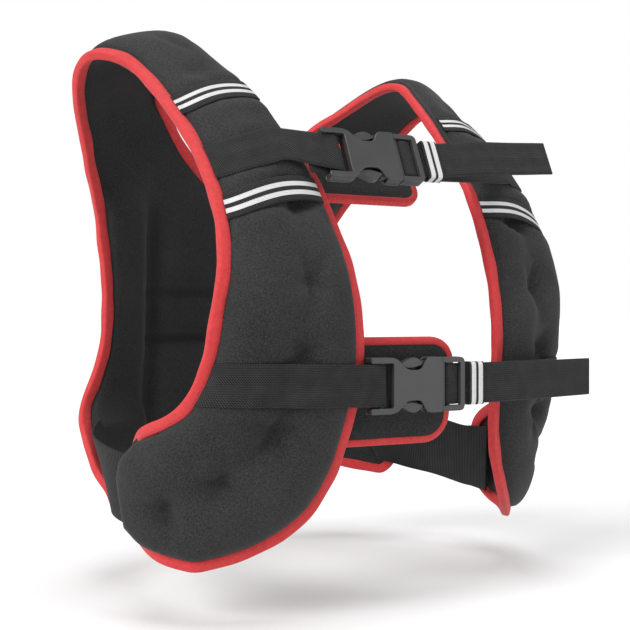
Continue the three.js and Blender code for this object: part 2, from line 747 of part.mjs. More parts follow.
function plate(shape, thick) {
  const geometry = new THREE.ExtrudeGeometry(shape, {
    depth: thick,
    bevelEnabled: false,
    curveSegments: CORNER_STEPS,
  });
  return geometry.translate(0, 0, -thick / 2);
}

function addKeeper(name, frame) {
  const halfHeight = WEBBING_WIDTH / 2 + KEEPER_CLEARANCE;
  const halfDepth = LAYER + WEBBING_THICK / 2 + KEEPER_CLEARANCE;
  const outerHeight = halfHeight + KEEPER_WALL;
  const outerDepth = halfDepth + KEEPER_WALL;
  const ring = new THREE.Shape([
    new THREE.Vector2(-outerDepth, -outerHeight),
    new THREE.Vector2(outerDepth, -outerHeight),
    new THREE.Vector2(outerDepth, outerHeight),
    new THREE.Vector2(-outerDepth, outerHeight),
  ]);
  ring.holes.push(
    new THREE.Path([
      new THREE.Vector2(-halfDepth, -halfHeight),
      new THREE.Vector2(-halfDepth, halfHeight),
      new THREE.Vector2(halfDepth, halfHeight),
      new THREE.Vector2(halfDepth, -halfHeight),
    ]),
  );
  const geometry = plate(ring, KEEPER_WIDTH).rotateY(Math.PI / 2).translate(KEEPER_MIDDLE, 0, 0);
  addPiece(`${name}_keeper`, frame.place(geometry), "elastic");
}

// Solids joined and cut
function solidOf(geometry) {
  const bare = new THREE.BufferGeometry();
  const loose = geometry.index ? geometry.toNonIndexed() : geometry;
  bare.setAttribute("position", loose.getAttribute("position").clone());
  const merged = mergeVertices(bare);
  return new wasm.Manifold(
    new wasm.Mesh({
      numProp: 3,
      vertProperties: new Float32Array(merged.attributes.position.array),
      triVerts: new Uint32Array(merged.index.array),
    }),
  );
}

function geometryOf(solid) {
  const mesh = solid.getMesh();
  const geometry = new THREE.BufferGeometry();
  geometry.setAttribute("position", new THREE.BufferAttribute(mesh.vertProperties, 3));
  geometry.setIndex(new THREE.BufferAttribute(mesh.triVerts, 1));
  return geometry;
}

// How far a cutting block runs past the face that it cuts, and a joined one into its neighbour
const PAST = 1;

function block(x0, x1, y0, y1, thick) {
  const geometry = new THREE.BoxGeometry(x1 - x0, y1 - y0, thick);
  return solidOf(geometry.translate((x0 + x1) / 2, (y0 + y1) / 2, 0));
}

// The bar that webbing goes round, between the two rims of a buckle
const BAR_SIDES = 10;

function roundBar(at) {
  const length = BUCKLE_WIDTH - BUCKLE_RIM;
  const geometry = new THREE.CylinderGeometry(0.5, 0.5, length, BAR_SIDES);
  return solidOf(geometry.scale(BAR_WIDTH, 1, BAR_THICK).translate(at, 0, 0));
}

// The socket: two legs with the webbing's bar between them, and a sleeve with a notch each side
function socketSolid() {
  const half = BUCKLE_WIDTH / 2;
  const inner = half - BUCKLE_RIM;
  const body = solidOf(
    plate(roundedRectangle(0, SOCKET_LENGTH, -half, half, BUCKLE_CORNER), BUCKLE_THICK),
  );
  const betweenLegs = block(-PAST, SOCKET_LEGS, -inner, inner, BUCKLE_THICK + PAST);
  const cavity = block(
    SOCKET_LENGTH - SOCKET_CAVITY,
    SOCKET_LENGTH + PAST,
    -half + SOCKET_WALL,
    half - SOCKET_WALL,
    BUCKLE_THICK - 2 * SOCKET_WALL,
  );
  const notch = (y0, y1) =>
    block(NOTCH_START, NOTCH_START + NOTCH_LENGTH, y0, y1, BUCKLE_THICK + PAST);
  return body
    .subtract(betweenLegs)
    .add(roundBar(SOCKET_BAR_AT))
    .subtract(cavity)
    .subtract(notch(half - NOTCH_DEPTH, half + PAST))
    .subtract(notch(-half - PAST, -half + NOTCH_DEPTH));
}

// The plug: a frame with the webbing's bar at its end, a tongue and two arms that reach the notches
function plugSolid() {
  const half = BUCKLE_WIDTH / 2;
  const start = SOCKET_LENGTH + SLIDE_GAP;
  const inner = half - BUCKLE_RIM;
  const cavityHalf = half - SOCKET_WALL - SLIDE_GAP;
  const reachStart = SOCKET_LENGTH - SOCKET_CAVITY + SLIDE_GAP;
  const frame = solidOf(
    plate(roundedRectangle(start, BUCKLE_LENGTH, -half, half, BUCKLE_CORNER), BUCKLE_THICK - 2 * PLUG_STEP),
  );
  const window = block(start + BAR_WIDTH, BUCKLE_LENGTH + PAST, -inner, inner, BUCKLE_THICK);
  const tongueHalf = TONGUE_WIDTH / 2;
  const tongue = block(reachStart + BAR_WIDTH, start + PAST, -tongueHalf, tongueHalf, ARM_THICK);
  const arm = (sign) => {
    const edges = [sign * cavityHalf, sign * (cavityHalf - ARM_WIDTH)].sort((a, b) => a - b);
    return block(reachStart, start + PAST, edges[0], edges[1], ARM_THICK);
  };
  return frame
    .subtract(window)
    .add(roundBar(PLUG_BAR_AT))
    .add(tongue)
    .add(arm(1))
    .add(arm(-1));
}

function addBuckle(name, frame) {
  addPiece(`${name}_buckle_socket`, frame.place(geometryOf(socketSolid())), "buckle");
  addPiece(`${name}_buckle_plug`, frame.place(geometryOf(plugSolid())), "buckle");
}

// A flap's outline, square at the sewn left side and rounded at the right corners
function flapOutline({ left, right, up, down, corner }, inset) {
  const radius = corner - inset;
  const path = new THREE.Path();
  path.moveTo(left, -down + inset);
  path.lineTo(right - corner, -down + inset);
  path.absarc(right - corner, -down + corner, radius, -Math.PI / 2, 0, false);
  path.absarc(right - corner, up - corner, radius, 0, Math.PI / 2, false);
  path.lineTo(left, up - inset);
  return path.getPoints(CORNER_STEPS);
}

// How far behind the buckle's middle the nearest of the pieces over a flap's area lies
const FLAP_SAMPLES = 16;

function depthBehind(frame, flap, pieces) {
  const across = steps(FLAP_SAMPLES);
  const depths = across.flatMap((f) =>
    across.map((g) => {
      const u = flap.left + (flap.right - flap.left) * f;
      const w = -flap.down + (flap.up + flap.down) * g;
      const start = frame.at(u, -CAST_FROM).addScaledVector(frame.up, w);
      const hit = new THREE.Raycaster(start, frame.out).intersectObjects(pieces)[0];
      return hit ? CAST_FROM - hit.distance : -Infinity;
    }),
  );
  return Math.max(...depths);
}

function addFlap(name, frame, shares, pieces) {
  const flap = {
    left: shares.left * BUCKLE_LENGTH,
    right: shares.right * BUCKLE_LENGTH,
    up: shares.up * BUCKLE_WIDTH,
    down: shares.down * BUCKLE_WIDTH,
    corner: shares.corner * BUCKLE_WIDTH,
  };
  const behind = depthBehind(frame, flap, pieces) + FLAP_CLEARANCE + FLAP_BINDING_THICK / 2;
  const core = new THREE.Shape(flapOutline(flap, FLAP_BINDING_WIDTH + GAP));
  const rim = new THREE.Shape([
    ...flapOutline(flap, 0),
    ...flapOutline(flap, FLAP_BINDING_WIDTH).reverse(),
  ]);
  const placed = (geometry) => frame.place(geometry.translate(0, 0, -behind));
  addPiece(`${name}_flap`, placed(plate(core, FLAP_THICK)), "neoprene");
  addPiece(`${name}_flap_binding`, placed(plate(rim, FLAP_BINDING_THICK)), "binding");
}

// A thin sheet between a lower and an upper edge, both smooth through the rows of a table
function ribbon(rows, thick) {
  const last = rows.length - 1;
  const low = (at) => along(rows, at, (r) => sized(r[1], r[2], r[3]));
  const high = (at) => along(rows, at, (r) => sized(r[4], r[5], r[6]));
  const middle = (at) => mix(low(at), high(at), 0.5);
  const grid = steps(last * STEPS_PER_SECTION).map((f) => {
    const at = f * last;
    const run = middle(Math.min(at + SMALL_STEP, last)).sub(middle(Math.max(at - SMALL_STEP, 0)));
    const n = run.cross(high(at).sub(low(at))).normalize();
    return [low(at), high(at)].map((p) => ({ p, n }));
  });
  const shifted = (by) => grid.map((row) => row.map(({ p, n }) => p.clone().addScaledVector(n, by)));
  return [shifted(thick / 2), shifted(-thick / 2)];
}

function addSideElastic() {
  const [face, reverse] = ribbon(SIDE_ELASTIC, SIDE_ELASTIC_THICK);
  const placed = (grid, place) => grid.map((row) => row.map(place));
  addPair("side_elastic", (place) => slab(placed(face, place), placed(reverse, place)), "elastic");
}

function addPocket() {
  const first = Math.round(POCKET_FIRST_SECTION * STEPS_PER_SECTION);
  const last = Math.round(POCKET_LAST_SECTION * STEPS_PER_SECTION);
  const cells = back.slice(first, last + 1).map((row) => row.slice(1, -1));
  const inner = raised(cells, (p, thick) => outerLift(p, thick) + POCKET_LIFT);
  const outer = raised(cells, (p, thick) => outerLift(p, thick) + POCKET_LIFT + POCKET_THICK);
  addPiece("back_pocket", slab(outer, inner), "mesh");
}

addPanels();
addBindings();
const leftPanel = pieceNamed("front_panel_left");
const rightEdge = [pieceNamed("front_panel_right"), pieceNamed("front_binding_right")];
addBands(leftPanel);
STRAPS.forEach((strap) => addStrap(strap, leftPanel, rightEdge));
addSideElastic();
addPocket();

export default vest;
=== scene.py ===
"""A weighted vest in its worn form: padded panels, bound edges, buckled straps and elastic sides.

Lengths are millimetres until a mesh is made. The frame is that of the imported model: +Z up, the
wearer faces -Y, and the wearer's right is -X, which is the side nearer to the camera.
"""

import json
import logging
import math
from dataclasses import dataclass
from enum import Enum
from typing import Sequence, Union

import bmesh
import bpy
import numpy as np
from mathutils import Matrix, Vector

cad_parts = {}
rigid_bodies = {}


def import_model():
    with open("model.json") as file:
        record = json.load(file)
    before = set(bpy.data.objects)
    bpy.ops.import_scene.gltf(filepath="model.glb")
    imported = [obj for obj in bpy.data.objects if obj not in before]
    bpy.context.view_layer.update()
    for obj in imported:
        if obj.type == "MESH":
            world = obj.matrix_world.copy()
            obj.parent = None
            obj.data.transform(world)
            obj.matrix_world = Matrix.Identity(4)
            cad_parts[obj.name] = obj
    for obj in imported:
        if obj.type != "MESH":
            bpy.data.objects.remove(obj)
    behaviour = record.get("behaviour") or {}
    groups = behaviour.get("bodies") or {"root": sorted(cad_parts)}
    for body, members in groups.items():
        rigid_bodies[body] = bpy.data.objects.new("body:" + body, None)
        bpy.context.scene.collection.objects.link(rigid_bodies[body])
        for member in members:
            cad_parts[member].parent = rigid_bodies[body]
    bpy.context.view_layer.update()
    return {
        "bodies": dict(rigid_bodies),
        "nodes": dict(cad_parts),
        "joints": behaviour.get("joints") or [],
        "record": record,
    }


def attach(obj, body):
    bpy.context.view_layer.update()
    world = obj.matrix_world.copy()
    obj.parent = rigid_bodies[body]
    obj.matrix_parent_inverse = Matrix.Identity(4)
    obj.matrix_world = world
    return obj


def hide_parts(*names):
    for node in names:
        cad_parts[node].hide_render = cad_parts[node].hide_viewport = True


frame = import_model()

logging.basicConfig(level=logging.INFO, format="%(message)s")
LOG = logging.getLogger("vest")

Array = np.ndarray
METRE = 0.001
SAME_PLACE = 0.00002
BODY = "root"

# Driving sizes of the vest
HALF_WIDTH = 200.0
DEPTH = 280.0
HEIGHT = 400.0
SHARES = np.array([HALF_WIDTH, DEPTH, HEIGHT])

# Sections of one side, from the wing's tip over the shoulder to the base of the neck:
# front or neck edge x, y, z, armhole edge x, y, z as shares of the sizes above, and padding
SIDE_SECTIONS = {
    "wing tip": (0.985, -0.057, -0.908, 0.995, -0.039, -0.812, 0.8),
    "wing end": (0.975, -0.118, -0.938, 1.002, -0.064, -0.767, 0.9),
    "wing corner": (0.96, -0.175, -0.955, 1.01, -0.118, -0.735, 1),
    "wing heel": (0.92, -0.218, -0.964, 1.01, -0.171, -0.72, 1),
    "wing low": (0.865, -0.257, -0.965, 1.002, -0.218, -0.708, 1),
    "wing sweep": (0.715, -0.339, -0.936, 0.985, -0.286, -0.682, 1),
    "wing turn": (0.58, -0.402, -0.885, 0.97, -0.329, -0.645, 1),
    "flank": (0.49, -0.432, -0.818, 0.96, -0.354, -0.608, 1),
    "hip": (0.44, -0.452, -0.745, 0.953, -0.371, -0.573, 1),
    "waist": (0.407, -0.48, -0.642, 0.945, -0.389, -0.505, 1),
    "rib": (0.405, -0.486, -0.542, 0.93, -0.4, -0.438, 0.95),
    "low chest": (0.415, -0.463, -0.438, 0.91, -0.379, -0.37, 0.95),
    "chest": (0.44, -0.411, -0.343, 0.895, -0.339, -0.31, 0.92),
    "breast": (0.46, -0.357, -0.263, 0.887, -0.289, -0.253, 0.9),
    "collar": (0.485, -0.296, -0.198, 0.88, -0.221, -0.193, 0.88),
    "front rise": (0.515, -0.214, -0.125, 0.88, -0.146, -0.14, 0.82),
    "rise": (0.545, -0.136, -0.068, 0.88, -0.064, -0.087, 0.72),
    "crest front": (0.59, -0.036, -0.007, 0.895, 0.029, -0.033, 0.6),
    "crest": (0.62, 0.043, 0.035, 0.935, 0.079, -0.01, 0.52),
    "crest back": (0.62, 0.125, 0.045, 0.975, 0.15, 0, 0.5),
    "fall": (0.595, 0.207, 0.028, 0.97, 0.221, -0.013, 0.5),
    "blade top": (0.54, 0.286, -0.007, 0.94, 0.282, -0.05, 0.52),
    "blade": (0.48, 0.35, -0.043, 0.88, 0.339, -0.1, 0.55),
    "yoke": (0.42, 0.371, -0.077, 0.825, 0.375, -0.147, 0.58),
    "neck side": (0.375, 0.373, -0.113, 0.78, 0.407, -0.195, 0.6),
    "neck turn": (0.285, 0.386, -0.158, 0.74, 0.429, -0.23, 0.62),
    "neck low": (0.15, 0.414, -0.203, 0.705, 0.45, -0.263, 0.64),
    "neck base": (0, 0.443, -0.223, 0.68, 0.466, -0.29, 0.65),
}

# Sections of the back under the neck: middle line y, z, side edge x, y, z, padding
BACK_SECTIONS = {
    "neck base": (0.443, -0.223, 0.68, 0.466, -0.29, 0.65),
    "shoulder blade": (0.468, -0.307, 0.665, 0.468, -0.347, 0.68),
    "upper back": (0.489, -0.388, 0.655, 0.461, -0.407, 0.7),
    "middle back": (0.5, -0.482, 0.65, 0.457, -0.487, 0.7),
    "lower back": (0.5, -0.575, 0.655, 0.464, -0.575, 0.7),
    "back waist": (0.496, -0.65, 0.685, 0.482, -0.65, 0.68),
    "back flare": (0.493, -0.7, 0.735, 0.482, -0.705, 0.62),
    "back hip": (0.489, -0.73, 0.77, 0.45, -0.743, 0.55),
    "back side": (0.486, -0.755, 0.8, 0.389, -0.782, 0.5),
    "back lobe": (0.482, -0.772, 0.825, 0.314, -0.83, 0.45),
    "lobe end": (0.479, -0.785, 0.825, 0.243, -0.87, 0.42),
    "back hem": (0.475, -0.807, 0.78, 0.264, -0.9, 0.4),
}
SIDE_LAST = len(SIDE_SECTIONS) - 1
BACK_LAST = SIDE_LAST + len(BACK_SECTIONS) - 1


class Side(Enum):
    """The wearer's side that a fold or a piece is on, as the sign of X."""

    RIGHT = -1
    LEFT = 1
    BOTH = 0


# Tack dents: side, place along in sections, share across, depth, reach, folds round it
DENTS = {
    "low wing": (Side.BOTH, 3.2, 0.43, 9, 9, 3),
    "wing": (Side.BOTH, 5.0, 0.5, 9, 9, 4),
    "hip": (Side.BOTH, 7.0, 0.48, 9, 10, 5),
    "waist": (Side.BOTH, 9.0, 0.45, 6.5, 9, 4),
    "ribs": (Side.BOTH, 10.5, 0.42, 7, 9, 5),
    "chest": (Side.BOTH, 12.1, 0.38, 8, 9, 3),
    "shoulder": (Side.BOTH, 16.1, 0.5, 3.5, 12, 3),
}

# Creases: side, from place and share, to place and share, depth, reach
CREASES = {
    "wing crease": (Side.BOTH, 3.2, 0.43, 5.0, 0.5, 3.6, 6),
    "hip crease": (Side.BOTH, 5.0, 0.5, 7.0, 0.48, 3.2, 7),
    "waist valley": (Side.BOTH, 9.0, 0.45, 10.5, 0.42, 1.8, 9),
    "chest valley": (Side.BOTH, 10.5, 0.42, 12.1, 0.38, 1.6, 8),
    "shoulder crease": (Side.RIGHT, 18.1, 0.5, 17.0, 0.35, 1.8, 4),
    "flank crease": (Side.RIGHT, 7.3, 0.28, 7.6, 0.1, 1.6, 3.5),
    "left chest crease": (Side.LEFT, 12.0, 0.3, 11.3, 0.75, 2.6, 4.5),
    "left rib crease": (Side.LEFT, 11.0, 0.35, 10.2, 0.72, 2.8, 4.5),
    "left waist crease": (Side.LEFT, 9.4, 0.45, 8.9, 0.8, 2.2, 4),
    "left hip crease": (Side.LEFT, 7.7, 0.72, 6.7, 0.76, 2.6, 5),
}

# How far straps and bands press into the padding, how they are arched between their ends, and
# the share across from which a strap lies on the padding rather than runs free to its buckle
STRAP_PRESS, BAND_PRESS = 1.6, 2.4
BAND_ARCH, CHEST_ARCH = 8.5, 5.5
STRAP_FREE, FREE_SPAN = 0.48, 0.12
BAND_WIDTH, WEBBING_WIDTH = 20.0, 30.0
STRAP_COLUMNS, STRAP_SEARCH = 11, 160

# Places along the vest between which bands and straps are looked for
LOWEST_STRAP, HIGHEST_STRAP = 5.0, 17.0


@dataclass(frozen=True)
class StrapLine:
    """Where a strap lies on a front panel: heights at both edges as shares of HEIGHT."""

    side: Side
    armhole: float
    front: float
    arch: float
    width: float
    first: float
    press: float

    def heights(self, across: Array) -> Array:
        """Heights of its middle line: straight between its ends plus arch * sin(pi t)."""
        straight = (self.front + (self.armhole - self.front) * across) * HEIGHT
        return straight + self.arch * np.sin(np.pi * across)


def band_line(armhole: float, front: float) -> StrapLine:
    """A striped band, on both sides and pressed in from edge to edge."""
    return StrapLine(Side.BOTH, armhole, front, BAND_ARCH, BAND_WIDTH, 0.0, BAND_PRESS)


def webbing_line(side: Side, armhole: float, front: float, arch: float) -> StrapLine:
    """Webbing on one side, pressed in up to where it runs free."""
    return StrapLine(side, armhole, front, arch, WEBBING_WIDTH, STRAP_FREE, STRAP_PRESS)


STRAP_LINES = {
    "upper_band": band_line(-0.129, -0.084),
    "lower_band": band_line(-0.328, -0.284),
    "chest_right": webbing_line(Side.RIGHT, -0.243, -0.197, CHEST_ARCH),
    "chest_left": webbing_line(Side.LEFT, -0.208, -0.212, CHEST_ARCH),
    "waist_right": webbing_line(Side.RIGHT, -0.6345, -0.6395, 0.0),
    "waist_left": webbing_line(Side.LEFT, -0.6445, -0.6435, 0.0),
}

# Sewn channels across the lining of the back: height as a share of HEIGHT, depth, reach, and how
# far the channel dips in the middle
CHANNELS = {
    "top": (-0.27, 9.0, 5, 16.0),
    "second": (-0.36, 9.0, 4.6, 0.0),
    "third": (-0.46, 9.0, 4.6, 0.0),
    "fourth": (-0.565, 9.0, 4.6, 0.0),
}
BLOCK_HEIGHT = 7.5
UPRIGHT_CHANNEL = 88.0


def smooth_step(x: Array) -> Array:
    """Goes from 0 to 1 with level ends: 3x^2 - 2x^3 of x limited to 0 and 1."""
    x = np.clip(x, 0.0, 1.0)
    return x * x * (3 - 2 * x)


def unit(v: Array) -> Array:
    """Vectors of length one, along the last axis."""
    return v / np.maximum(np.linalg.norm(v, axis=-1, keepdims=True), 1e-9)


def smooth_rows(rows: Array, at: Array) -> Array:
    """Smooth values between rows of a table, by cubics whose slopes join each row's neighbours.

    Args:
        rows: one row of numbers for each section.
        at: places counted in rows, of any shape.

    Returns:
        The values, with the table's columns as a last axis.
    """
    last = len(rows) - 1
    i = np.clip(np.floor(at).astype(int), 0, last - 1)
    f = (at - i)[..., None]
    a, b, c, d = (rows[np.clip(i + k, 0, last)] for k in (-1, 0, 1, 2))
    return 0.5 * (
        2 * b + (c - a) * f + (2 * a - 5 * b + 4 * c - d) * f**2 + (3 * b - a - 3 * c + d) * f**3
    )


def resampled(points: Array, step: float, *others: Array) -> list[Array]:
    """Points at even distances along a line through the given ones, and others alike.

    Args:
        points: n by 3 points.
        step: the wanted distance.
        others: arrays of n rows that are read at the same places.

    Returns:
        The new points and the new others.
    """
    length = np.r_[0, np.cumsum(np.linalg.norm(np.diff(points, axis=0), axis=1))]
    count = max(int(round(length[-1] / step)), 2) + 1
    at = np.linspace(0, length[-1], count)
    return [
        np.stack([np.interp(at, length, a[:, k]) for k in range(a.shape[1])], axis=1)
        for a in (points, *others)
    ]


def softened(values: Array, rounds: int) -> Array:
    """Rows averaged with their neighbours a number of times, with the ends kept.

    Args:
        values: rows of numbers.
        rounds: how many times.

    Returns:
        The new rows.
    """
    out = values.copy()
    for _ in range(rounds):
        out[1:-1] = 0.25 * out[:-2] + 0.5 * out[1:-1] + 0.25 * out[2:]
    return out


@dataclass
class MeshData:
    """Vertices, faces and per-corner surface lengths of a mesh that is being made."""

    points: Array
    faces: Array
    uv: Array
    material: Array
    caps: Sequence[Sequence[int]] = ()

    def joined(self, other: "MeshData") -> "MeshData":
        """This mesh with another one beside it, as one.

        Args:
            other: the mesh to put beside it.

        Returns:
            Both as one mesh.
        """
        shift = len(self.points)
        return MeshData(
            np.vstack([self.points, other.points]),
            np.vstack([self.faces, other.faces + shift]),
            np.vstack([self.uv, other.uv]),
            np.r_[self.material, other.material],
            [*self.caps, *[[k + shift for k in cap] for cap in other.caps]],
        )

    def mirrored(self) -> "MeshData":
        """This mesh on the wearer's other side, with its faces turned back out.

        Returns:
            The mirrored mesh.
        """
        return MeshData(
            self.points * np.array([-1.0, 1.0, 1.0]),
            self.faces[:, ::-1],
            self.uv[:, ::-1],
            self.material,
            [list(cap)[::-1] for cap in self.caps],
        )


def grid_mesh(points: Array, lengths: Array, material: int = 0, flip: bool = False) -> MeshData:
    """Four-sided faces over a grid of points.

    Args:
        points: rows by columns by 3.
        lengths: rows by columns by 2 surface lengths, in millimetres.
        material: the material's place for all faces.
        flip: turns the faces round.

    Returns:
        The mesh.
    """
    rows, cols = points.shape[:2]
    k = np.arange(rows * cols).reshape(rows, cols)
    quads = np.stack([k[:-1, :-1], k[:-1, 1:], k[1:, 1:], k[1:, :-1]], axis=-1).reshape(-1, 4)
    if flip:
        quads = quads[:, ::-1]
    return MeshData(
        points.reshape(-1, 3),
        quads,
        lengths.reshape(-1, 2)[quads],
        np.full(len(quads), material),
    )


def swept(
    path: Array, across: Array, out: Array, profile: Array, closed: bool = False
) -> MeshData:
    """A closed profile carried along a path: centre + across * a + out * b at each point.

    Args:
        path: n by 3 centres.
        across: n by 3 unit vectors along the profile's width.
        out: n by 3 unit vectors along its thickness.
        profile: m by 2 lengths a, b, or n by m by 2.
        closed: whether the path's end meets its start.

    Returns:
        The mesh, whose surface lengths are along the path and the profile's place across.
    """
    shape = profile if profile.ndim == 3 else np.broadcast_to(profile, (len(path), *profile.shape))
    shape = np.concatenate([shape, shape[:, :1]], axis=1)
    ring = (
        path[:, None]
        + across[:, None] * shape[..., :1]
        + out[:, None] * shape[..., 1:]
    )
    length = np.r_[0, np.cumsum(np.linalg.norm(np.diff(path, axis=0), axis=1))]
    uv = np.stack([np.broadcast_to(length[:, None], shape.shape[:2]), shape[..., 0]], axis=-1)
    mesh = grid_mesh(ring, uv)
    if not closed:
        cols = ring.shape[1]
        first = list(range(cols - 1))
        last = [(len(path) - 1) * cols + k for k in range(cols - 1)]
        mesh.caps = [first[::-1], last]
    return mesh


def closed_pair(top: Array, bottom: Array, lengths: Array) -> MeshData:
    """Two grids of points as the faces of one piece, with walls between their rims.

    Args:
        top: rows by columns by 3 points of the outer face.
        bottom: as many points of the inner face.
        lengths: rows by columns by 2 surface lengths.

    Returns:
        The closed mesh.
    """
    mesh = grid_mesh(top, lengths).joined(grid_mesh(bottom, lengths, flip=True))
    for rim in (np.s_[:, 0], np.s_[:, -1], np.s_[0, :], np.s_[-1, :]):
        pair = np.stack([top[rim], bottom[rim]])
        mesh = mesh.joined(grid_mesh(pair, pair[..., [0, 2]]))
    return mesh


def make_object(
    name: str, data: MeshData, materials: Sequence[bpy.types.Material]
) -> bpy.types.Object:
    """A Blender object from mesh data in millimetres, with doubles joined and faces turned out.

    Args:
        name: the piece's name.
        data: its mesh.
        materials: its materials in order.

    Returns:
        The object, riding on the vest.
    """
    mesh = bpy.data.meshes.new(name)
    faces = data.faces.tolist() + [list(cap) for cap in data.caps]
    mesh.from_pydata((data.points * METRE).tolist(), [], faces)
    layer = mesh.uv_layers.new(name="lengths")
    flat = np.zeros((len(mesh.loops), 2), np.float32)
    flat[: data.faces.size] = data.uv.reshape(-1, 2) * METRE
    layer.data.foreach_set("uv", flat.ravel())
    index = np.zeros(len(faces), np.int32)
    index[: len(data.faces)] = data.material
    mesh.polygons.foreach_set("material_index", index)
    for material in materials:
        mesh.materials.append(material)
    work = bmesh.new()
    work.from_mesh(mesh)
    bmesh.ops.remove_doubles(work, verts=work.verts, dist=SAME_PLACE)
    bmesh.ops.recalc_face_normals(work, faces=work.faces)
    work.to_mesh(mesh)
    work.free()
    mesh.polygons.foreach_set("use_smooth", np.ones(len(mesh.polygons), bool))
    obj = bpy.data.objects.new(name, mesh)
    bpy.context.scene.collection.objects.link(obj)
    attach(obj, BODY)
    return obj


# Shader maths


class Graph:
    """The nodes of one material or of the world, and the one place where they are added."""

    def __init__(self, name: str, world: bool = False) -> None:
        """Starts an empty material or world with its output.

        Args:
            name: its name.
            world: whether it is a world.
        """
        self.owner = (bpy.data.worlds if world else bpy.data.materials).new(name)
        self.owner.use_nodes = True
        self.tree = self.owner.node_tree
        self.tree.nodes.clear()
        kind = "ShaderNodeOutputWorld" if world else "ShaderNodeOutputMaterial"
        self.output = self.add(kind, {}, {})

    def add(self, kind: str, settings: dict, inputs: dict) -> bpy.types.Node:
        """Adds a node.

        Args:
            kind: the node's type.
            settings: its properties, and a colour ramp's stops under "stops".
            inputs: values or linked sockets by socket name or number.

        Returns:
            The node.
        """
        node = self.tree.nodes.new(kind)
        for key, value in settings.items():
            if key == "stops":
                ramp = node.color_ramp
                for place, shade in value[2:]:
                    ramp.elements.new(place).color = (shade, shade, shade, 1)
                for k, (place, shade) in enumerate(value[:2]):
                    ramp.elements[k].position = place
                    ramp.elements[k].color = (shade, shade, shade, 1)
            else:
                setattr(node, key, value)
        for key, value in inputs.items():
            self.feed(node.inputs[key], value)
        return node

    def feed(self, socket: bpy.types.NodeSocket, value: object) -> None:
        """Links a wrapped socket to a node's input, or sets a plain value on it.

        Args:
            socket: the input.
            value: a wrapped socket, a socket or a plain value.
        """
        if isinstance(value, Value):
            self.tree.links.new(value.socket, socket)
        elif isinstance(value, bpy.types.NodeSocket):
            self.tree.links.new(value, socket)
        else:
            socket.default_value = value

    def value(self, kind: str, output: str, settings: dict, inputs: dict) -> "Value":
        """Adds a node and wraps one of its outputs."""
        return Value(self, self.add(kind, settings, inputs).outputs[output])

    def place(self) -> "Value":
        """The place on the object, in metres."""
        return self.value("ShaderNodeTexCoord", "Object", {}, {})

    def lengths(self) -> tuple["Value", "Value"]:
        """The lengths along and across a swept piece, in metres.

        Returns:
            Both lengths.
        """
        uv = self.add("ShaderNodeUVMap", {"uv_map": "lengths"}, {})
        split = self.add("ShaderNodeSeparateXYZ", {}, {"Vector": uv.outputs["UV"]})
        return Value(self, split.outputs["X"]), Value(self, split.outputs["Y"])

    def noise(self, scale: float, detail: float = 2.0, vector: "Value | None" = None) -> "Value":
        """A noise of the place, about 0.5 on average.

        Args:
            scale: how fine it is.
            detail: how many finer noises are added to it.
            vector: where it is read, if not at the place on the object.

        Returns:
            The noise.
        """
        where = vector if vector is not None else self.place()
        return self.value(
            "ShaderNodeTexNoise", "Fac", {}, {"Vector": where, "Scale": scale, "Detail": detail}
        )

    def mixed(
        self, share: "Value", low: "Value | Sequence[float]", high: Sequence[float]
    ) -> "Value":
        """A colour between a plain or worked-out one and a plain one, by a share.

        Args:
            share: 0 for the first colour, 1 for the second.
            low: the first.
            high: the second.

        Returns:
            The colour.
        """
        node = self.add("ShaderNodeMix", {"data_type": "RGBA"}, {})
        self.feed(node.inputs["Factor"], share)
        self.feed(node.inputs[6], low if isinstance(low, Value) else (*low, 1.0))
        self.feed(node.inputs[7], (*high, 1.0))
        return Value(self, node.outputs[2])

    def bump(self, height: "Value", distance: float, strength: float = 1.0) -> "Value":
        """A normal tilted by a height given as a share of a distance in metres.

        Args:
            height: the height.
            distance: what a height of 1 stands for.
            strength: its strength.

        Returns:
            The normal.
        """
        return self.value(
            "ShaderNodeBump",
            "Normal",
            {},
            {"Height": height, "Distance": distance, "Strength": strength},
        )

    def surface(self, inputs: dict) -> bpy.types.Material:
        """Ends the material in a Principled surface with these inputs.

        Args:
            inputs: values or wrapped sockets by socket name.

        Returns:
            The finished material.
        """
        node = self.add("ShaderNodeBsdfPrincipled", {}, inputs)
        self.tree.links.new(node.outputs["BSDF"], self.output.inputs["Surface"])
        return self.owner


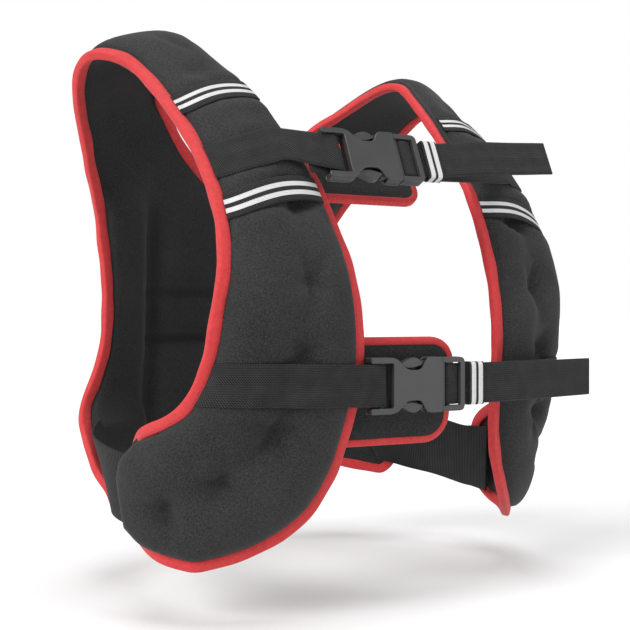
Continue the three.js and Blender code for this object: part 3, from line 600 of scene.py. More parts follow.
class Value:
    """A number worked out by nodes, with the arithmetic that a shader uses."""

    def __init__(self, graph: Graph, socket: bpy.types.NodeSocket) -> None:
        """Wraps a node's output."""
        self.graph = graph
        self.socket = socket

    def math(self, operation: str, *others: Union["Value", float]) -> "Value":
        """A Math node on this value and others."""
        inputs = dict(enumerate([self, *others]))
        return self.graph.value("ShaderNodeMath", "Value", {"operation": operation}, inputs)

    def __add__(self, other: Union["Value", float]) -> "Value":
        """Sum."""
        return self.math("ADD", other)

    __radd__ = __add__

    def __mul__(self, other: Union["Value", float]) -> "Value":
        """Product."""
        return self.math("MULTIPLY", other)

    __rmul__ = __mul__

    def __sub__(self, other: Union["Value", float]) -> "Value":
        """Difference."""
        return self.math("SUBTRACT", other)

    def __rsub__(self, other: float) -> "Value":
        """A number less this value."""
        return self * -1.0 + other

    def wave(self, period: float, phase: Union["Value", float] = 0.0) -> "Value":
        """0.5 + 0.5 sin(2 pi value / period + phase)."""
        return (self * (2 * math.pi / period) + phase).math("SINE") * 0.5 + 0.5

    def between(self, low: float, high: float, soft: float) -> "Value":
        """1 from low to high, falling to 0 over a soft width outside them.

        Args:
            low: where it reaches 1.
            high: where it starts to fall.
            soft: the soft width.

        Returns:
            The share.
        """
        rise = self.graph.value(
            "ShaderNodeMapRange",
            "Result",
            {"interpolation_type": "SMOOTHSTEP"},
            {"Value": self, "From Min": low - soft, "From Max": low},
        )
        fall = self.graph.value(
            "ShaderNodeMapRange",
            "Result",
            {"interpolation_type": "SMOOTHSTEP"},
            {"Value": self, "From Min": high, "From Max": high + soft},
        )
        return rise * (1.0 - fall)


@dataclass(frozen=True)
class PanelCloth:
    """Brushed knitted cloth over padding: grey with a fine grain."""

    name: str = "panel_cloth"
    dark: tuple[float, float, float] = (0.009, 0.009, 0.0095)
    light: tuple[float, float, float] = (0.044, 0.044, 0.0455)
    grain: float = 880.0
    depth: float = 0.00022
    roughness: float = 0.85
    sheen: float = 0.07

    def build(self) -> bpy.types.Material:
        """Makes the material.

        Returns:
            The material.
        """
        g = Graph(self.name)
        grain = g.noise(self.grain, 3.0)
        fleck = g.noise(self.grain * 2.3, 1.0)
        cloud = g.noise(14.0, 3.0)
        shade = (grain * 0.7 + fleck * 0.7 + cloud * 0.3 - 0.85) * 2.3 + 0.42
        height = grain * 0.7 + fleck * 0.3
        return g.surface(
            {
                "Base Color": g.mixed(shade, self.dark, self.light),
                "Roughness": self.roughness,
                "Sheen Weight": self.sheen,
                "Sheen Roughness": 0.5,
                "Specular IOR Level": 0.18,
                "Normal": g.bump(height, self.depth),
            }
        )


@dataclass(frozen=True)
class EdgeTape:
    """Coral red edging tape with fine ribs across it and a sewn line beside the cloth."""

    name: str = "edge_tape"
    dark: tuple[float, float, float] = (0.43, 0.022, 0.024)
    light: tuple[float, float, float] = (0.63, 0.043, 0.046)
    rib: float = 0.0011
    stitch: float = 0.0042
    stitch_at: float = -0.0027

    def build(self) -> bpy.types.Material:
        """Makes the material.

        Returns:
            The material.
        """
        g = Graph(self.name)
        along, across = g.lengths()
        ribs = along.wave(self.rib)
        worn = g.noise(260.0, 3.0)
        line = across.between(self.stitch_at - 0.0003, self.stitch_at + 0.0003, 0.0003)
        thread = line * along.wave(self.stitch)
        shade = worn * 1.1 + ribs * 0.16 - 0.14
        color = g.mixed(shade, self.dark, self.light)
        height = ribs * 0.3 + worn * 0.35 - line * 0.9 + thread * 0.7
        return g.surface(
            {
                "Base Color": color,
                "Roughness": 0.62,
                "Sheen Weight": 0.08,
                "Specular IOR Level": 0.3,
                "Normal": g.bump(height, 0.00035),
            }
        )


class Weave(Enum):
    """How a strap is woven."""

    TWILL = "herringbone twill"
    PLAIN = "plain elastic"
    RIBBED = "ribbed elastic"


@dataclass(frozen=True)
class StrapCloth:
    """Woven or knitted strap, with stripes along it where it has them."""

    name: str
    weave: Weave
    dark: tuple[float, float, float] = (0.0025, 0.0025, 0.0027)
    light: tuple[float, float, float] = (0.042, 0.042, 0.0433)
    stripes: tuple[tuple[float, float], ...] = ()
    stripe_color: tuple[float, float, float] = (0.62, 0.62, 0.63)
    roughness: float = 0.72

    def pattern(self, g: Graph, along: Value, across: Value) -> Value:
        """The height of the weave at a place.

        Args:
            g: the material's nodes.
            along: length along the strap.
            across: length across it.

        Returns:
            A height from 0 to 1.
        """
        if self.weave is Weave.TWILL:
            zigzag = across.math("PINGPONG", 0.0075)
            return (along + zigzag * 1.2).wave(0.0019) * 0.7 + across.wave(0.0017) * 0.3
        if self.weave is Weave.RIBBED:
            return along.wave(0.0021) * 0.85 + across.wave(0.0011) * 0.15
        return along.wave(0.0012) * 0.5 + across.wave(0.0012) * 0.5

    def build(self) -> bpy.types.Material:
        """Makes the material.

        Returns:
            The material.
        """
        g = Graph(self.name)
        along, across = g.lengths()
        weave = self.pattern(g, along, across)
        worn = g.noise(90.0, 3.0)
        color = g.mixed(weave * 1.1 + worn * 0.6 - 0.45, self.dark, self.light)
        for low, high in self.stripes:
            stripe = across.between(low, high, 0.00025)
            color = g.mixed(stripe, color, self.stripe_color)
        return g.surface(
            {
                "Base Color": color,
                "Roughness": self.roughness,
                "Sheen Weight": 0.04,
                "Specular IOR Level": 0.18,
                "Normal": g.bump(weave, 0.0004),
            }
        )


@dataclass(frozen=True)
class MouldedPlastic:
    """Matt dark grey plastic with a fine spark-eroded grain and a slow cloudy change of tone and
    roughness.
    """

    name: str = "moulded_plastic"
    dark: tuple[float, float, float] = (0.030, 0.030, 0.031)
    light: tuple[float, float, float] = (0.048, 0.048, 0.049)

    def build(self) -> bpy.types.Material:
        """Makes the material.

        Returns:
            The material.
        """
        g = Graph(self.name)
        grain = g.noise(1900.0, 2.0)
        cloud = g.noise(60.0, 2.0)
        return g.surface(
            {
                "Base Color": g.mixed(grain * 0.4 + cloud * 0.6, self.dark, self.light),
                "Roughness": cloud * 0.14 + 0.28,
                "Specular IOR Level": 0.5,
                "Normal": g.bump(grain, 0.00006),
            }
        )


@dataclass(frozen=True)
class OpenMesh:
    """Knitted open mesh: round holes in rows, half a pitch apart."""

    name: str = "open_mesh"
    cord: tuple[float, float, float] = (0.105, 0.105, 0.11)
    hole: tuple[float, float, float] = (0.012, 0.012, 0.013)
    pitch: float = 0.0032

    def build(self) -> bpy.types.Material:
        """Makes the material.

        Returns:
            The material.
        """
        g = Graph(self.name)
        along, across = g.lengths()
        holes = (along + across).wave(self.pitch) * (along - across).wave(self.pitch)
        worn = g.noise(120.0, 2.0)
        shade = holes * 1.5 + worn * 0.2 - 0.1
        return g.surface(
            {
                "Base Color": g.mixed(shade, self.cord, self.hole),
                "Roughness": 0.75,
                "Normal": g.bump(1.0 - holes, 0.0006),
            }
        )


# The padded shell


@dataclass
class Shell:
    """The seam surface of the vest's left half and the padding on both of its faces."""

    thick: float = 24.0
    edge: float = 5.0
    round_over: float = 34.0
    lining_share: float = 0.22
    bow: float = 4.0
    binding_width: float = 9.5
    binding_thick: float = 7.6
    fuller_part: float = 0.55
    steep_part: float = 0.34
    shoulder: tuple[float, float] = (13.5, 22.5)
    tip_end: float = 2.8
    along_steps: int = 7
    across_cells: int = 44
    outline_step: float = 0.5
    runs: tuple[float, float, float, float] = (900, 45, 1150, 175)
    batch: int = 2000

    def __post_init__(self) -> None:
        """Works out the tables in millimetres and the outline."""
        side = np.array(list(SIDE_SECTIONS.values()), float)
        back = np.array(list(BACK_SECTIONS.values()), float)
        middle = np.column_stack([np.zeros(len(back)), back[:, :2]])
        self.side_inner = side[:, :3] * SHARES
        self.back_inner = middle * SHARES
        self.outer_rows = np.vstack([side[:, 3:6], back[1:, 2:5]]) * SHARES
        self.padding_rows = np.r_[side[:, 6], back[1:, 5]][:, None] * self.thick
        self.outline = self.outline_points(self.outline_step)

    def inner(self, s: Array) -> Array:
        """The front, neck or middle edge at places along the vest.

        Args:
            s: places along the vest, in sections.

        Returns:
            The points.
        """
        on_side = smooth_rows(self.side_inner, np.minimum(s, SIDE_LAST))
        on_back = smooth_rows(self.back_inner, np.maximum(s - SIDE_LAST, 0))
        return np.where(s[..., None] <= SIDE_LAST, on_side, on_back)

    def outer(self, s: Array) -> Array:
        """The armhole or side edge at places along the vest."""
        return smooth_rows(self.outer_rows, s)

    def padding(self, s: Array) -> Array:
        """The full thickness at places along the vest."""
        return smooth_rows(self.padding_rows, s)[..., 0]

    def seam(self, s: Array, t: Array) -> Array:
        """Seam points: the line between the edges, bowed out by 4t(1-t) of a small height.

        Args:
            s: places along, in sections.
            t: shares across, 0 at the inner edge.

        Returns:
            The points.
        """
        inner, outer = self.inner(s), self.outer(s)
        step = 0.05
        before, after = np.maximum(s - step, 0), np.minimum(s + step, BACK_LAST)
        ahead, behind = (self.inner(at) + self.outer(at) for at in (after, before))
        forward = ahead - behind
        normal = unit(np.cross(outer - inner, forward))
        side_bow = normal * self.bow * smooth_step((SIDE_LAST - s) / 3)[..., None]
        level = (inner[..., 1] - outer[..., 1]) / 4 * smooth_step((s - SIDE_LAST + 0.7) / 1.7)
        back_bow = level[..., None] * np.array([0.0, 1.0, 0.0])
        t = t[..., None]
        return inner + (outer - inner) * t + 4 * t * (1 - t) * (side_bow + back_bow)

    def normal(self, s: Array, t: Array) -> Array:
        """Unit normals of the seam surface, away from the wearer.

        Args:
            s: places along the vest, in sections.
            t: shares across, 0 at the inner edge.

        Returns:
            The normals.
        """
        step = 0.06
        s0, s1 = np.maximum(s - step, 0), np.minimum(s + step, BACK_LAST)
        t0, t1 = np.maximum(t - step, 0), np.minimum(t + step, 1)
        along = self.seam(s1, t) - self.seam(s0, t)
        across = self.seam(s, t1) - self.seam(s, t0)
        n = unit(np.cross(across, along))
        on_middle = (s >= SIDE_LAST) & (t < 1e-6)
        n[..., 0] = np.where(on_middle, 0.0, n[..., 0])
        return unit(n)

    def outline_run(self, step: float) -> tuple[Array, Array]:
        """The left half's outline as places along and across.

        It goes from the neck's base round the front edge, the wing's tip, the armhole and the
        back's side to the middle of the hem, and runs are the rough lengths of these stretches.

        Args:
            step: about how far apart the places are.

        Returns:
            The places s and t.
        """
        front, tip, outer, hem = (int(length / step) for length in self.runs)
        s = np.concatenate(
            [
                np.linspace(SIDE_LAST, 0, front),
                np.zeros(tip),
                np.linspace(0, BACK_LAST, outer),
                np.full(hem, float(BACK_LAST)),
            ]
        )
        t = np.concatenate(
            [np.zeros(front), np.linspace(0, 1, tip), np.ones(outer), np.linspace(1, 0, hem)]
        )
        return s, t

    def outline_points(self, step: float) -> Array:
        """Points close together on the left half's outline."""
        s, t = self.outline_run(step)
        return self.seam(s, t)

    def inside(self, points: Array) -> Array:
        """How far points lie from the outline, less half of the binding's width.

        Args:
            points: points near the seam surface, on either side.

        Returns:
            The distances.
        """
        flat = points.reshape(-1, 3).copy()
        flat[:, 0] = np.abs(flat[:, 0])
        squares = np.sum(self.outline**2, axis=1)
        nearest = [
            np.min(np.sum(c**2, axis=1)[:, None] - 2 * c @ self.outline.T + squares, axis=1)
            for c in np.array_split(flat, max(len(flat) // self.batch, 1))
        ]
        distance = np.sqrt(np.maximum(np.concatenate(nearest), 0)).reshape(points.shape[:-1])
        return distance - self.binding_width / 2

    def rise(self, points: Array, reach: float) -> Array:
        """The share of the full padding: a quarter of an ellipse over a reach from the edge."""
        return self.rise_at(self.inside(points), reach)

    @staticmethod
    def rise_at(inside: Array, reach: float) -> Array:
        """The same share by distances from the edge."""
        short = 1 - np.clip(inside / reach, 0, 1)
        return np.sqrt(np.maximum(1 - short**2, 0))

    def full_lift(self, s: Array, points: Array) -> Array:
        """The height of the outer face over the seam before any dent.

        It is half of the edge's thickness plus the outer side's part of the padding times a rise,
        which comes sooner from the edge on the shoulder, and sooner still at the wing's tip.

        Args:
            s: places along the vest, in sections.
            points: points of the seam surface.

        Returns:
            The heights.
        """
        body = (self.padding(s) - self.edge) * (1 - self.lining_share)
        first, last = self.shoulder
        shoulder = smooth_step((s - first) / 2) * smooth_step((last - s) / 2)
        inside = self.inside(points)
        parts = (1.0, self.fuller_part, self.steep_part)
        rise, fuller, steep = (self.rise_at(inside, part * self.round_over) for part in parts)
        tip = smooth_step((self.tip_end - s) / 2.2)
        share = rise + (fuller - rise) * shoulder + (steep - rise) * tip
        return self.edge / 2 + body * share

    def face(self, s: Array, t: Array) -> tuple[Array, Array]:
        """Points of the outer face before any dent, and their normals.

        Args:
            s: places along the vest, in sections.
            t: shares across, 0 at the inner edge.

        Returns:
            The points and the normals.
        """
        points = self.seam(s, t)
        n = self.normal(s, t)
        return points + n * self.full_lift(s, points)[..., None], n


@dataclass
class PaddedBody:
    """Both front panels and the back as one padded piece, with its lining."""

    shell: Shell
    hollow_share: float = 0.55
    hollow_reach: float = 2.5
    fold_share: float = 0.26
    fold_reach: float = 1.7
    swell_at: float = 9.0
    swell_reach: float = 5.0
    unevenness: float = 0.5
    pucker: float = 0.35
    pucker_reach: float = 9.0
    upright_depth: float = 7.5
    upright_reach: float = 7.0
    dip_reach: float = 55.0
    thinnest_lining: float = 1.6
    under_tape: float = 2.0
    join_reach: float = 1.3
    smoothing: float = 0.8
    smoothing_rounds: int = 30

    def dent_depth(self, side: Side, points: Array) -> Array:
        """How deep tack dents and their small folds go at points.

        With d as the distance over the reach, a dent is depth * exp(-d^2), the hollow round it
        hollow_share * depth * exp(-(d/hollow_reach)^2), and its folds are
        fold_share * depth * cos(count * angle) * d * exp(-(d/fold_reach)^2).

        Args:
            side: the wearer's side.
            points: points of the seam surface.

        Returns:
            The depths.
        """
        total = np.zeros(points.shape[:-1])
        for where, s, t, depth, reach, folds in DENTS.values():
            if where not in (side, Side.BOTH):
                continue
            at = self.shell.seam(np.array([s]), np.array([t]))[0]
            n = self.shell.normal(np.array([s]), np.array([t]))[0]
            e1 = unit(np.cross(n, np.array([0.0, 0.0, 1.0])))
            e2 = np.cross(n, e1)
            away = points - at
            d = np.linalg.norm(away, axis=-1) / reach
            angle = np.arctan2(away @ e2, away @ e1)
            hollow = self.hollow_share * depth * np.exp(-((d / self.hollow_reach) ** 2))
            total += depth * np.exp(-(d**2)) + hollow
            fold = self.fold_share * depth * np.cos(folds * angle + s)
            total += fold * d * np.exp(-((d / self.fold_reach) ** 2))
        return total

    def crease_depth(self, side: Side, points: Array) -> Array:
        """How deep creases go: depth * exp(-(d/reach)^2), d from the line between two places.

        Args:
            side: the wearer's side.
            points: points of the seam surface.

        Returns:
            The depths.
        """
        total = np.zeros(points.shape[:-1])
        for where, s0, t0, s1, t1, depth, reach in CREASES.values():
            if where not in (side, Side.BOTH):
                continue
            a, b = self.shell.seam(np.array([s0, s1]), np.array([t0, t1]))
            share = np.clip((points - a) @ (b - a) / np.sum((b - a) ** 2), 0, 1)
            d = np.linalg.norm(points - a - share[..., None] * (b - a), axis=-1)
            fade = 0.35 + 0.65 * np.sin(np.pi * share)
            total += depth * fade * np.exp(-((d / reach) ** 2))
        return total

    def pressed(self, side: Side, s: Array, t: Array) -> Array:
        """How deep straps press into the face: flat under a strap, with a swell beside it.

        The press ends beside the strap in a smooth step, and the swell, half as high, is
        exp(-((away - swell_at)/swell_reach)^2), away being measured from the strap's edge.

        Args:
            side: the wearer's side.
            s: places along the vest, in sections.
            t: shares across, 0 at the inner edge.

        Returns:
            The depths, below 0 where the padding swells.
        """
        face, n = self.shell.face(s, t)
        share = upright_share(n)
        in_front = smooth_step((HIGHEST_STRAP + 1 - s) / 0.6)
        in_front = in_front * smooth_step(s - LOWEST_STRAP + 1)
        total = np.zeros(s.shape)
        for line in STRAP_LINES.values():
            if line.side not in (side, Side.BOTH):
                continue
            away = np.abs(face[..., 2] - line.heights(t)) / share - line.width / 2
            start = (t - line.first + FREE_SPAN / 2) / FREE_SPAN
            fade = in_front * (smooth_step(start) if line.first else 1.0)
            total += fade * line.press * smooth_step((3.5 - away) / self.swell_reach)
            swell = np.exp(-(((away - self.swell_at) / self.swell_reach) ** 2))
            total -= fade * 0.5 * line.press * swell
        return total

    def ripple(self, points: Array, s: Array, side: Side) -> Array:
        """Slow unevenness of the filling and small puckers beside the binding, in millimetres.

        The unevenness is two products of sines of the place. The puckers are a sine of the place
        along, whose phase sways slowly, and fade as exp(-distance / pucker_reach) from the tape.

        Args:
            points: points of the seam surface.
            s: places along the vest, in sections.
            side: the wearer's side.

        Returns:
            The heights.
        """
        x, y, z = np.moveaxis(points, -1, 0)
        turn = 1.7 * side.value
        slow = np.sin(x / 17 + z / 23 + turn) * np.sin(z / 31 - y / 19 + 2 * turn)
        slow += 0.6 * np.sin(y / 11 + z / 13 + turn) * np.sin(x / 14 - z / 9)
        near = np.exp(-np.maximum(self.shell.inside(points), 0) / self.pucker_reach)
        pucker = np.sin(s * 9.5 + 1.3 * np.sin(s * 2.1)) * near
        return self.unevenness * slow * (1 - near) + self.pucker * pucker

    def quilting(self, s: Array, points: Array) -> Array:
        """Padded blocks on the lining of the back, between its channels across and upright ones.

        A block stands BLOCK_HEIGHT proud, and a channel takes depth * exp(-(d/reach)^2) off it.

        Args:
            s: places along the vest, in sections.
            points: points of the seam surface.

        Returns:
            The heights of the lining over its plain padding.
        """
        on_back = smooth_step((s - SIDE_LAST + 2.2) / 1.6)
        on_back = on_back * smooth_step((BACK_LAST - 2.2 - s) / 1.2)
        x, z = points[..., 0], points[..., 2]
        block = np.full(x.shape, BLOCK_HEIGHT)
        middle = smooth_step((UPRIGHT_CHANNEL + 6 - np.abs(x)) / 10)
        for height, depth, reach, dip in CHANNELS.values():
            lower = height * HEIGHT - dip * np.exp(-((x / self.dip_reach) ** 2))
            block = block - middle * depth * np.exp(-(((z - lower) / reach) ** 2))
        beside = (np.abs(x) - UPRIGHT_CHANNEL) / self.upright_reach
        block = block - self.upright_depth * np.exp(-(beside**2))
        return on_back * block

    def joined_smoothly(self, grid: Array, s: Array, t: Array) -> Array:
        """Averages rows near the line where the sides meet the back, so that no ridge shows.

        Each round moves a row by smoothing * weight towards the mean of the rows beside it. The
        weight is exp(-(d/join_reach)^2), d being sections from that line, and 0 at both edges.

        Args:
            grid: rows by columns by 3 points.
            s: places along the vest, in sections.
            t: shares across, 0 at the inner edge.

        Returns:
            The new points.
        """
        weight = np.exp(-(((s - SIDE_LAST) / self.join_reach) ** 2)) * smooth_step(t / 0.12)
        weight = (weight * smooth_step((1 - t) / 0.1))[..., None]
        for _ in range(self.smoothing_rounds):
            mean = grid.copy()
            mean[1:-1] = 0.5 * (grid[:-2] + grid[2:])
            grid = grid + weight * self.smoothing * (mean - grid)
        return grid

    def half(self, side: Side) -> MeshData:
        """One half of the body, made on the left and mirrored for the right.

        Args:
            side: the wearer's side.

        Returns:
            Its mesh, with the outer cloth first and the lining second.
        """
        shell = self.shell
        rows = BACK_LAST * shell.along_steps + 1
        s = np.linspace(0, BACK_LAST, rows)[:, None] * np.ones(shell.across_cells + 1)
        # Places across are closer together near the edges, and the back starts at its middle
        share = (1 - np.cos(np.linspace(0, np.pi, shell.across_cells + 1))) / 2
        t = np.broadcast_to(share, s.shape)
        points = shell.seam(s, t)
        normals = shell.normal(s, t)
        lift = shell.full_lift(s, points)
        rise = shell.rise(points, shell.round_over)
        sunk = self.dent_depth(side, points) + self.crease_depth(side, points)
        sunk = sunk + self.pressed(side, s, t)
        lift = lift - sunk * rise + self.ripple(points, s, side) * rise
        outer = points + normals * np.maximum(lift, shell.edge / 2)[..., None]
        under_tape = points + normals * self.under_tape
        outer = np.where(shell.inside(points)[..., None] < 0, under_tape, outer)

        low = shell.edge / 2 + (shell.padding(s) - shell.edge) * shell.lining_share * rise
        low = low + self.quilting(s, points) * rise
        low = low + self.ripple(points + 40.0, s, side) * rise * 0.8
        lining = points - normals * np.maximum(low, self.thinnest_lining)[..., None]
        outer = self.joined_smoothly(outer, s, t)
        lining = self.joined_smoothly(lining, s, t)
        lengths = points[..., [0, 2]]
        mesh = grid_mesh(outer, lengths, 0)
        mesh = mesh.joined(grid_mesh(lining, lengths, 1, flip=True))
        for rim in (np.s_[:, 0], np.s_[:, -1], np.s_[0, :], np.s_[-1, :]):
            if rim == np.s_[:, 0]:
                # Under the neck the two halves meet, so the rim ends at the base of the neck
                keep = s[:, 0] <= SIDE_LAST
                pair = np.stack([outer[keep, 0], lining[keep, 0]])
            else:
                pair = np.stack([outer[rim], lining[rim]])
            mesh = mesh.joined(grid_mesh(pair, pair[..., [0, 2]], 0))
        return mesh if side is Side.LEFT else mesh.mirrored()

    def build(self, cloth: bpy.types.Material, lining: bpy.types.Material) -> bpy.types.Object:
        """Args:
            cloth: the outer material.
            lining: the lining's material.

        Returns:
            The object.
        """
        data = self.half(Side.LEFT).joined(self.half(Side.RIGHT))
        obj = make_object("padded_body", data, [cloth, lining])
        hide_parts("front_panel_left", "front_panel_right", "back_panel")
        LOG.info("padded body: %d faces", len(obj.data.polygons))
        return obj


def rounded_profile(width: float, thick: float, count: int, power: float = 0.5) -> Array:
    """A flat oval: half width * sign(cos) |cos|^power, half thickness * sign(sin) |sin|^power.

    Args:
        width: its width.
        thick: its thickness.
        count: how many points.
        power: 1 for an ellipse, less for a fuller oval.

    Returns:
        The points.
    """
    angle = np.linspace(0, 2 * np.pi, count, endpoint=False)
    c, s = np.cos(angle), np.sin(angle)
    return np.stack(
        [
            width / 2 * np.sign(c) * np.abs(c) ** power,
            thick / 2 * np.sign(s) * np.abs(s) ** power,
        ],
        axis=1,
    )


def slab(lines: Array, thick: float, taper: float = 0.0) -> MeshData:
    """A strap about a grid of points: centre plus and minus half the thickness along the normal
    of the grid, with edges that end in a point a third of the thickness further out.

    Args:
        lines: rows along the strap by columns across it by 3.
        thick: its thickness.
        taper: how much thinner it gets at both ends, as a share.

    Returns:
        The closed mesh, whose surface lengths are along and across the strap.
    """
    along = unit(np.gradient(lines, axis=0))
    across = unit(np.gradient(lines, axis=1))
    n = unit(np.cross(across, along))
    ends = np.minimum(np.arange(len(lines)), np.arange(len(lines))[::-1]) / 3
    half = (thick / 2 * (1 - taper * (1 - np.clip(ends, 0, 1))))[:, None, None]
    low = lines[:, :1] - across[:, :1] * thick * 0.35
    high = lines[:, -1:] + across[:, -1:] * thick * 0.35
    ring = [low, lines + n * half, high, (lines - n * half)[:, ::-1], low]
    middle = lines[:, lines.shape[1] // 2]
    length = np.r_[0, np.cumsum(np.linalg.norm(np.diff(middle, axis=0), axis=1))]
    steps = np.linalg.norm(np.diff(lines, axis=1), axis=2).mean(axis=0)
    width = np.r_[0, np.cumsum(steps)] - steps.sum() / 2
    place = np.r_[width[0], width, width[-1], width[::-1], width[0]]
    uv = np.stack(np.broadcast_arrays(length[:, None], place[None]), axis=-1)
    mesh = grid_mesh(np.concatenate(ring, axis=1), uv)
    cols = len(place)
    last = (len(lines) - 1) * cols
    mesh.caps = [list(range(cols - 1))[::-1], [last + k for k in range(cols - 1)]]
    return mesh


def even_rows(lines: Array, step: float, rounds: int) -> Array:
    """A strap's rows at even distances along its middle line, softened a number of times.

    Args:
        lines: rows along the strap by columns across it by 3.
        step: the distance between new rows.
        rounds: how many times they are softened.

    Returns:
        The new rows.
    """
    middle = lines[:, lines.shape[1] // 2]
    flat = lines.reshape(len(lines), -1)
    (_, rows) = resampled(middle, step, flat)
    return softened(rows, rounds).reshape(-1, *lines.shape[1:])


def strap_profile(width: float, thick: float, cells: int = 10) -> Array:
    """A strap's section: flat faces, with edges rounded by half of the thickness.

    Args:
        width: its width.
        thick: its thickness.
        cells: how many cells there are across a face.

    Returns:
        The section's points.
    """
    flat = np.linspace(-1, 1, cells + 1) * (width / 2 - thick * 0.4)
    top = np.stack([flat, np.full_like(flat, thick / 2)], axis=1)
    bottom = np.stack([flat[::-1], np.full_like(flat, -thick / 2)], axis=1)
    return np.vstack([[-width / 2, 0], top, [width / 2, 0], bottom])[::-1]


@dataclass
class EdgeBinding:
    """The tape that is folded round the whole outline of the vest."""

    shell: Shell
    profile_count: int = 20
    step: float = 2.4
    tuck: float = 4.4

    def half(self) -> MeshData:
        """The binding of the left half, from the base of the neck to the middle of the hem.

        Round the neck and at the wing's tip it is tucked in behind the padding. Its size swells
        by small sines along its length.

        Returns:
            Its mesh.
        """
        shell = self.shell
        s, t = shell.outline_run(0.8)
        points, out = shell.seam(s, t), shell.normal(s, t)
        neck = smooth_step((s - 13) / 2) * smooth_step((23 - s) / 2) * (t < 1e-6)
        tip = smooth_step((2.6 - s) / 1.6) * smooth_step(t / 0.5)
        points = points - out * (self.tuck * softened(neck + tip, 40))[:, None]
        points, out = resampled(points, self.step, out)
        points = softened(points, 2)
        out = softened(out, 4)
        points[[0, -1], 0] = 0
        tangent = unit(np.gradient(points, axis=0))
        tangent[[0, -1]] = [[1, 0, 0], [-1, 0, 0]]
        out = unit(out - np.sum(out * tangent, axis=1, keepdims=True) * tangent)
        out[[0, -1], 0] = 0
        across = unit(np.cross(tangent, out))
        wavy = np.linspace(0, len(points) * self.step, len(points))
        swell = 1 + 0.035 * np.sin(wavy / 5.1) + 0.03 * np.sin(wavy / 8.7)
        swell[[0, -1]] = 1
        profile = rounded_profile(shell.binding_width, shell.binding_thick, self.profile_count)
        return swept(points, across, unit(out), profile[None] * swell[:, None, None])

    def build(self, tape: bpy.types.Material) -> bpy.types.Object:
        """Makes the piece.

        Args:
            tape: its material.

        Returns:
            The object.
        """
        half = self.half()
        half.caps = []
        obj = make_object("edge_binding", half.joined(half.mirrored()), [tape])
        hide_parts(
            "front_binding_left",
            "front_binding_right",
            "armhole_binding_left",
            "armhole_binding_right",
        )
        LOG.info("edge binding: %d faces", len(obj.data.polygons))
        return obj


def declare_strap(
    data: MeshData, width: float
) -> None:
    """Works out a strap's length along the middle and its width in metres, and keeps neither.

    Args:
        data: its mesh, with surface lengths.
        width: its width.
    """
    length = float(data.uv[..., 0].max() - data.uv[..., 0].min())
    width * METRE


def upright_share(normals: Array) -> Array:
    """How much height a millimetre up a face gains: the root of 1 - nz^2."""
    return np.sqrt(np.maximum(1 - normals[..., 2] ** 2, 0.1))


def over_panel(
    shell: Shell, across: Array, line: StrapLine, clear: Array, press: Array
) -> Array:
    """A strap laid on the left panel: each column keeps its own distance from the middle line.

    Args:
        shell: the padded shell.
        across: shares across the panel, one for each row of the strap.
        line: where it lies, and its width.
        clear: distance of its middle surface over the pressed face, for each row.
        press: how deep it presses into full padding, for each row.

    Returns:
        Rows by columns by 3 points.
    """
    s_all = np.linspace(LOWEST_STRAP, HIGHEST_STRAP, STRAP_SEARCH)
    faces, n_all = shell.face(*np.meshgrid(s_all, across, indexing="ij"))
    z = faces[..., 2]
    away = np.linspace(-line.width / 2, line.width / 2, STRAP_COLUMNS)
    s = np.zeros((len(across), len(away)))
    for k, height in enumerate(line.heights(across)):
        share = np.interp(height, z[:, k], upright_share(n_all[:, k]))
        s[k] = np.interp(height + away * share, z[:, k], s_all)
    t = np.broadcast_to(across[:, None], s.shape)
    points, n = shell.face(s, t)
    rise = shell.rise(shell.seam(s, t), shell.round_over)
    return points + n * (clear[:, None] - press[:, None] * rise)[..., None]


@dataclass
class StripedBand:
    """An elastic band with two white lines across a front panel."""

    shell: Shell
    name: str
    thick: float = 1.2
    clearance: float = 0.45
    first_share: float = 0.035
    span_share: float = 0.93

    def half(self) -> MeshData:
        """The band on the left panel, from binding to binding.

        Returns:
            Its mesh.
        """
        share = (1 + np.cos(np.linspace(0, np.pi, 60))) / 2
        across = self.first_share + share * self.span_share
        line = STRAP_LINES[self.name]
        clear = np.full(len(across), self.thick / 2 + self.clearance)
        press = np.full(len(across), line.press)
        lines = over_panel(self.shell, across, line, clear, press)
        return slab(even_rows(lines, 2.0, 1), self.thick)

    def build(self, cloth: bpy.types.Material) -> None:
        """Makes the band of each side.

        Args:
            cloth: its material.
        """
        left = self.half()
        for side, data in (("left", left), ("right", left.mirrored())):
            obj = make_object(f"{self.name}_{side}_elastic", data, [cloth])
            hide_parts(f"{self.name}_{side}")
            declare_strap(data, BAND_WIDTH)
            LOG.info("%s: %d faces", obj.name, len(obj.data.polygons))


# Bars that the webbing goes round: places along the buckle, and width and thickness
SOCKET_BAR, INNER_BAR = 12.0, 71.0
BAR_SIZE = (4.0, 3.0)


@dataclass
class BuckleFrame:
    """Directions at a buckle: along it, up it and out of it, from the socket's open end."""

    place: tuple[float, float, float]
    turn: float
    lean: float

    def __post_init__(self) -> None:
        """Works out the three directions."""
        turn, lean = math.radians(self.turn), math.radians(self.lean)
        self.run = np.array([math.cos(turn), -math.sin(turn), 0.0])
        level = np.array([-math.sin(turn), -math.cos(turn), 0.0])
        upward = np.array([0.0, 0.0, 1.0])
        self.out = level * math.cos(lean) + upward * math.sin(lean)
        self.up = upward * math.cos(lean) - level * math.sin(lean)
        self.origin = np.array(self.place) * SHARES

    def at(self, u: Array, w: Array, v: Array) -> Array:
        """Points at lengths along, up and out.

        Args:
            u: lengths along the buckle.
            w: lengths up it.
            v: lengths out of it.

        Returns:
            The points.
        """
        u, w, v = np.broadcast_arrays(*(np.asarray(a, float) for a in (u, w, v)))
        return (
            self.origin
            + u[..., None] * self.run
            + w[..., None] * self.up
            + v[..., None] * self.out
        )


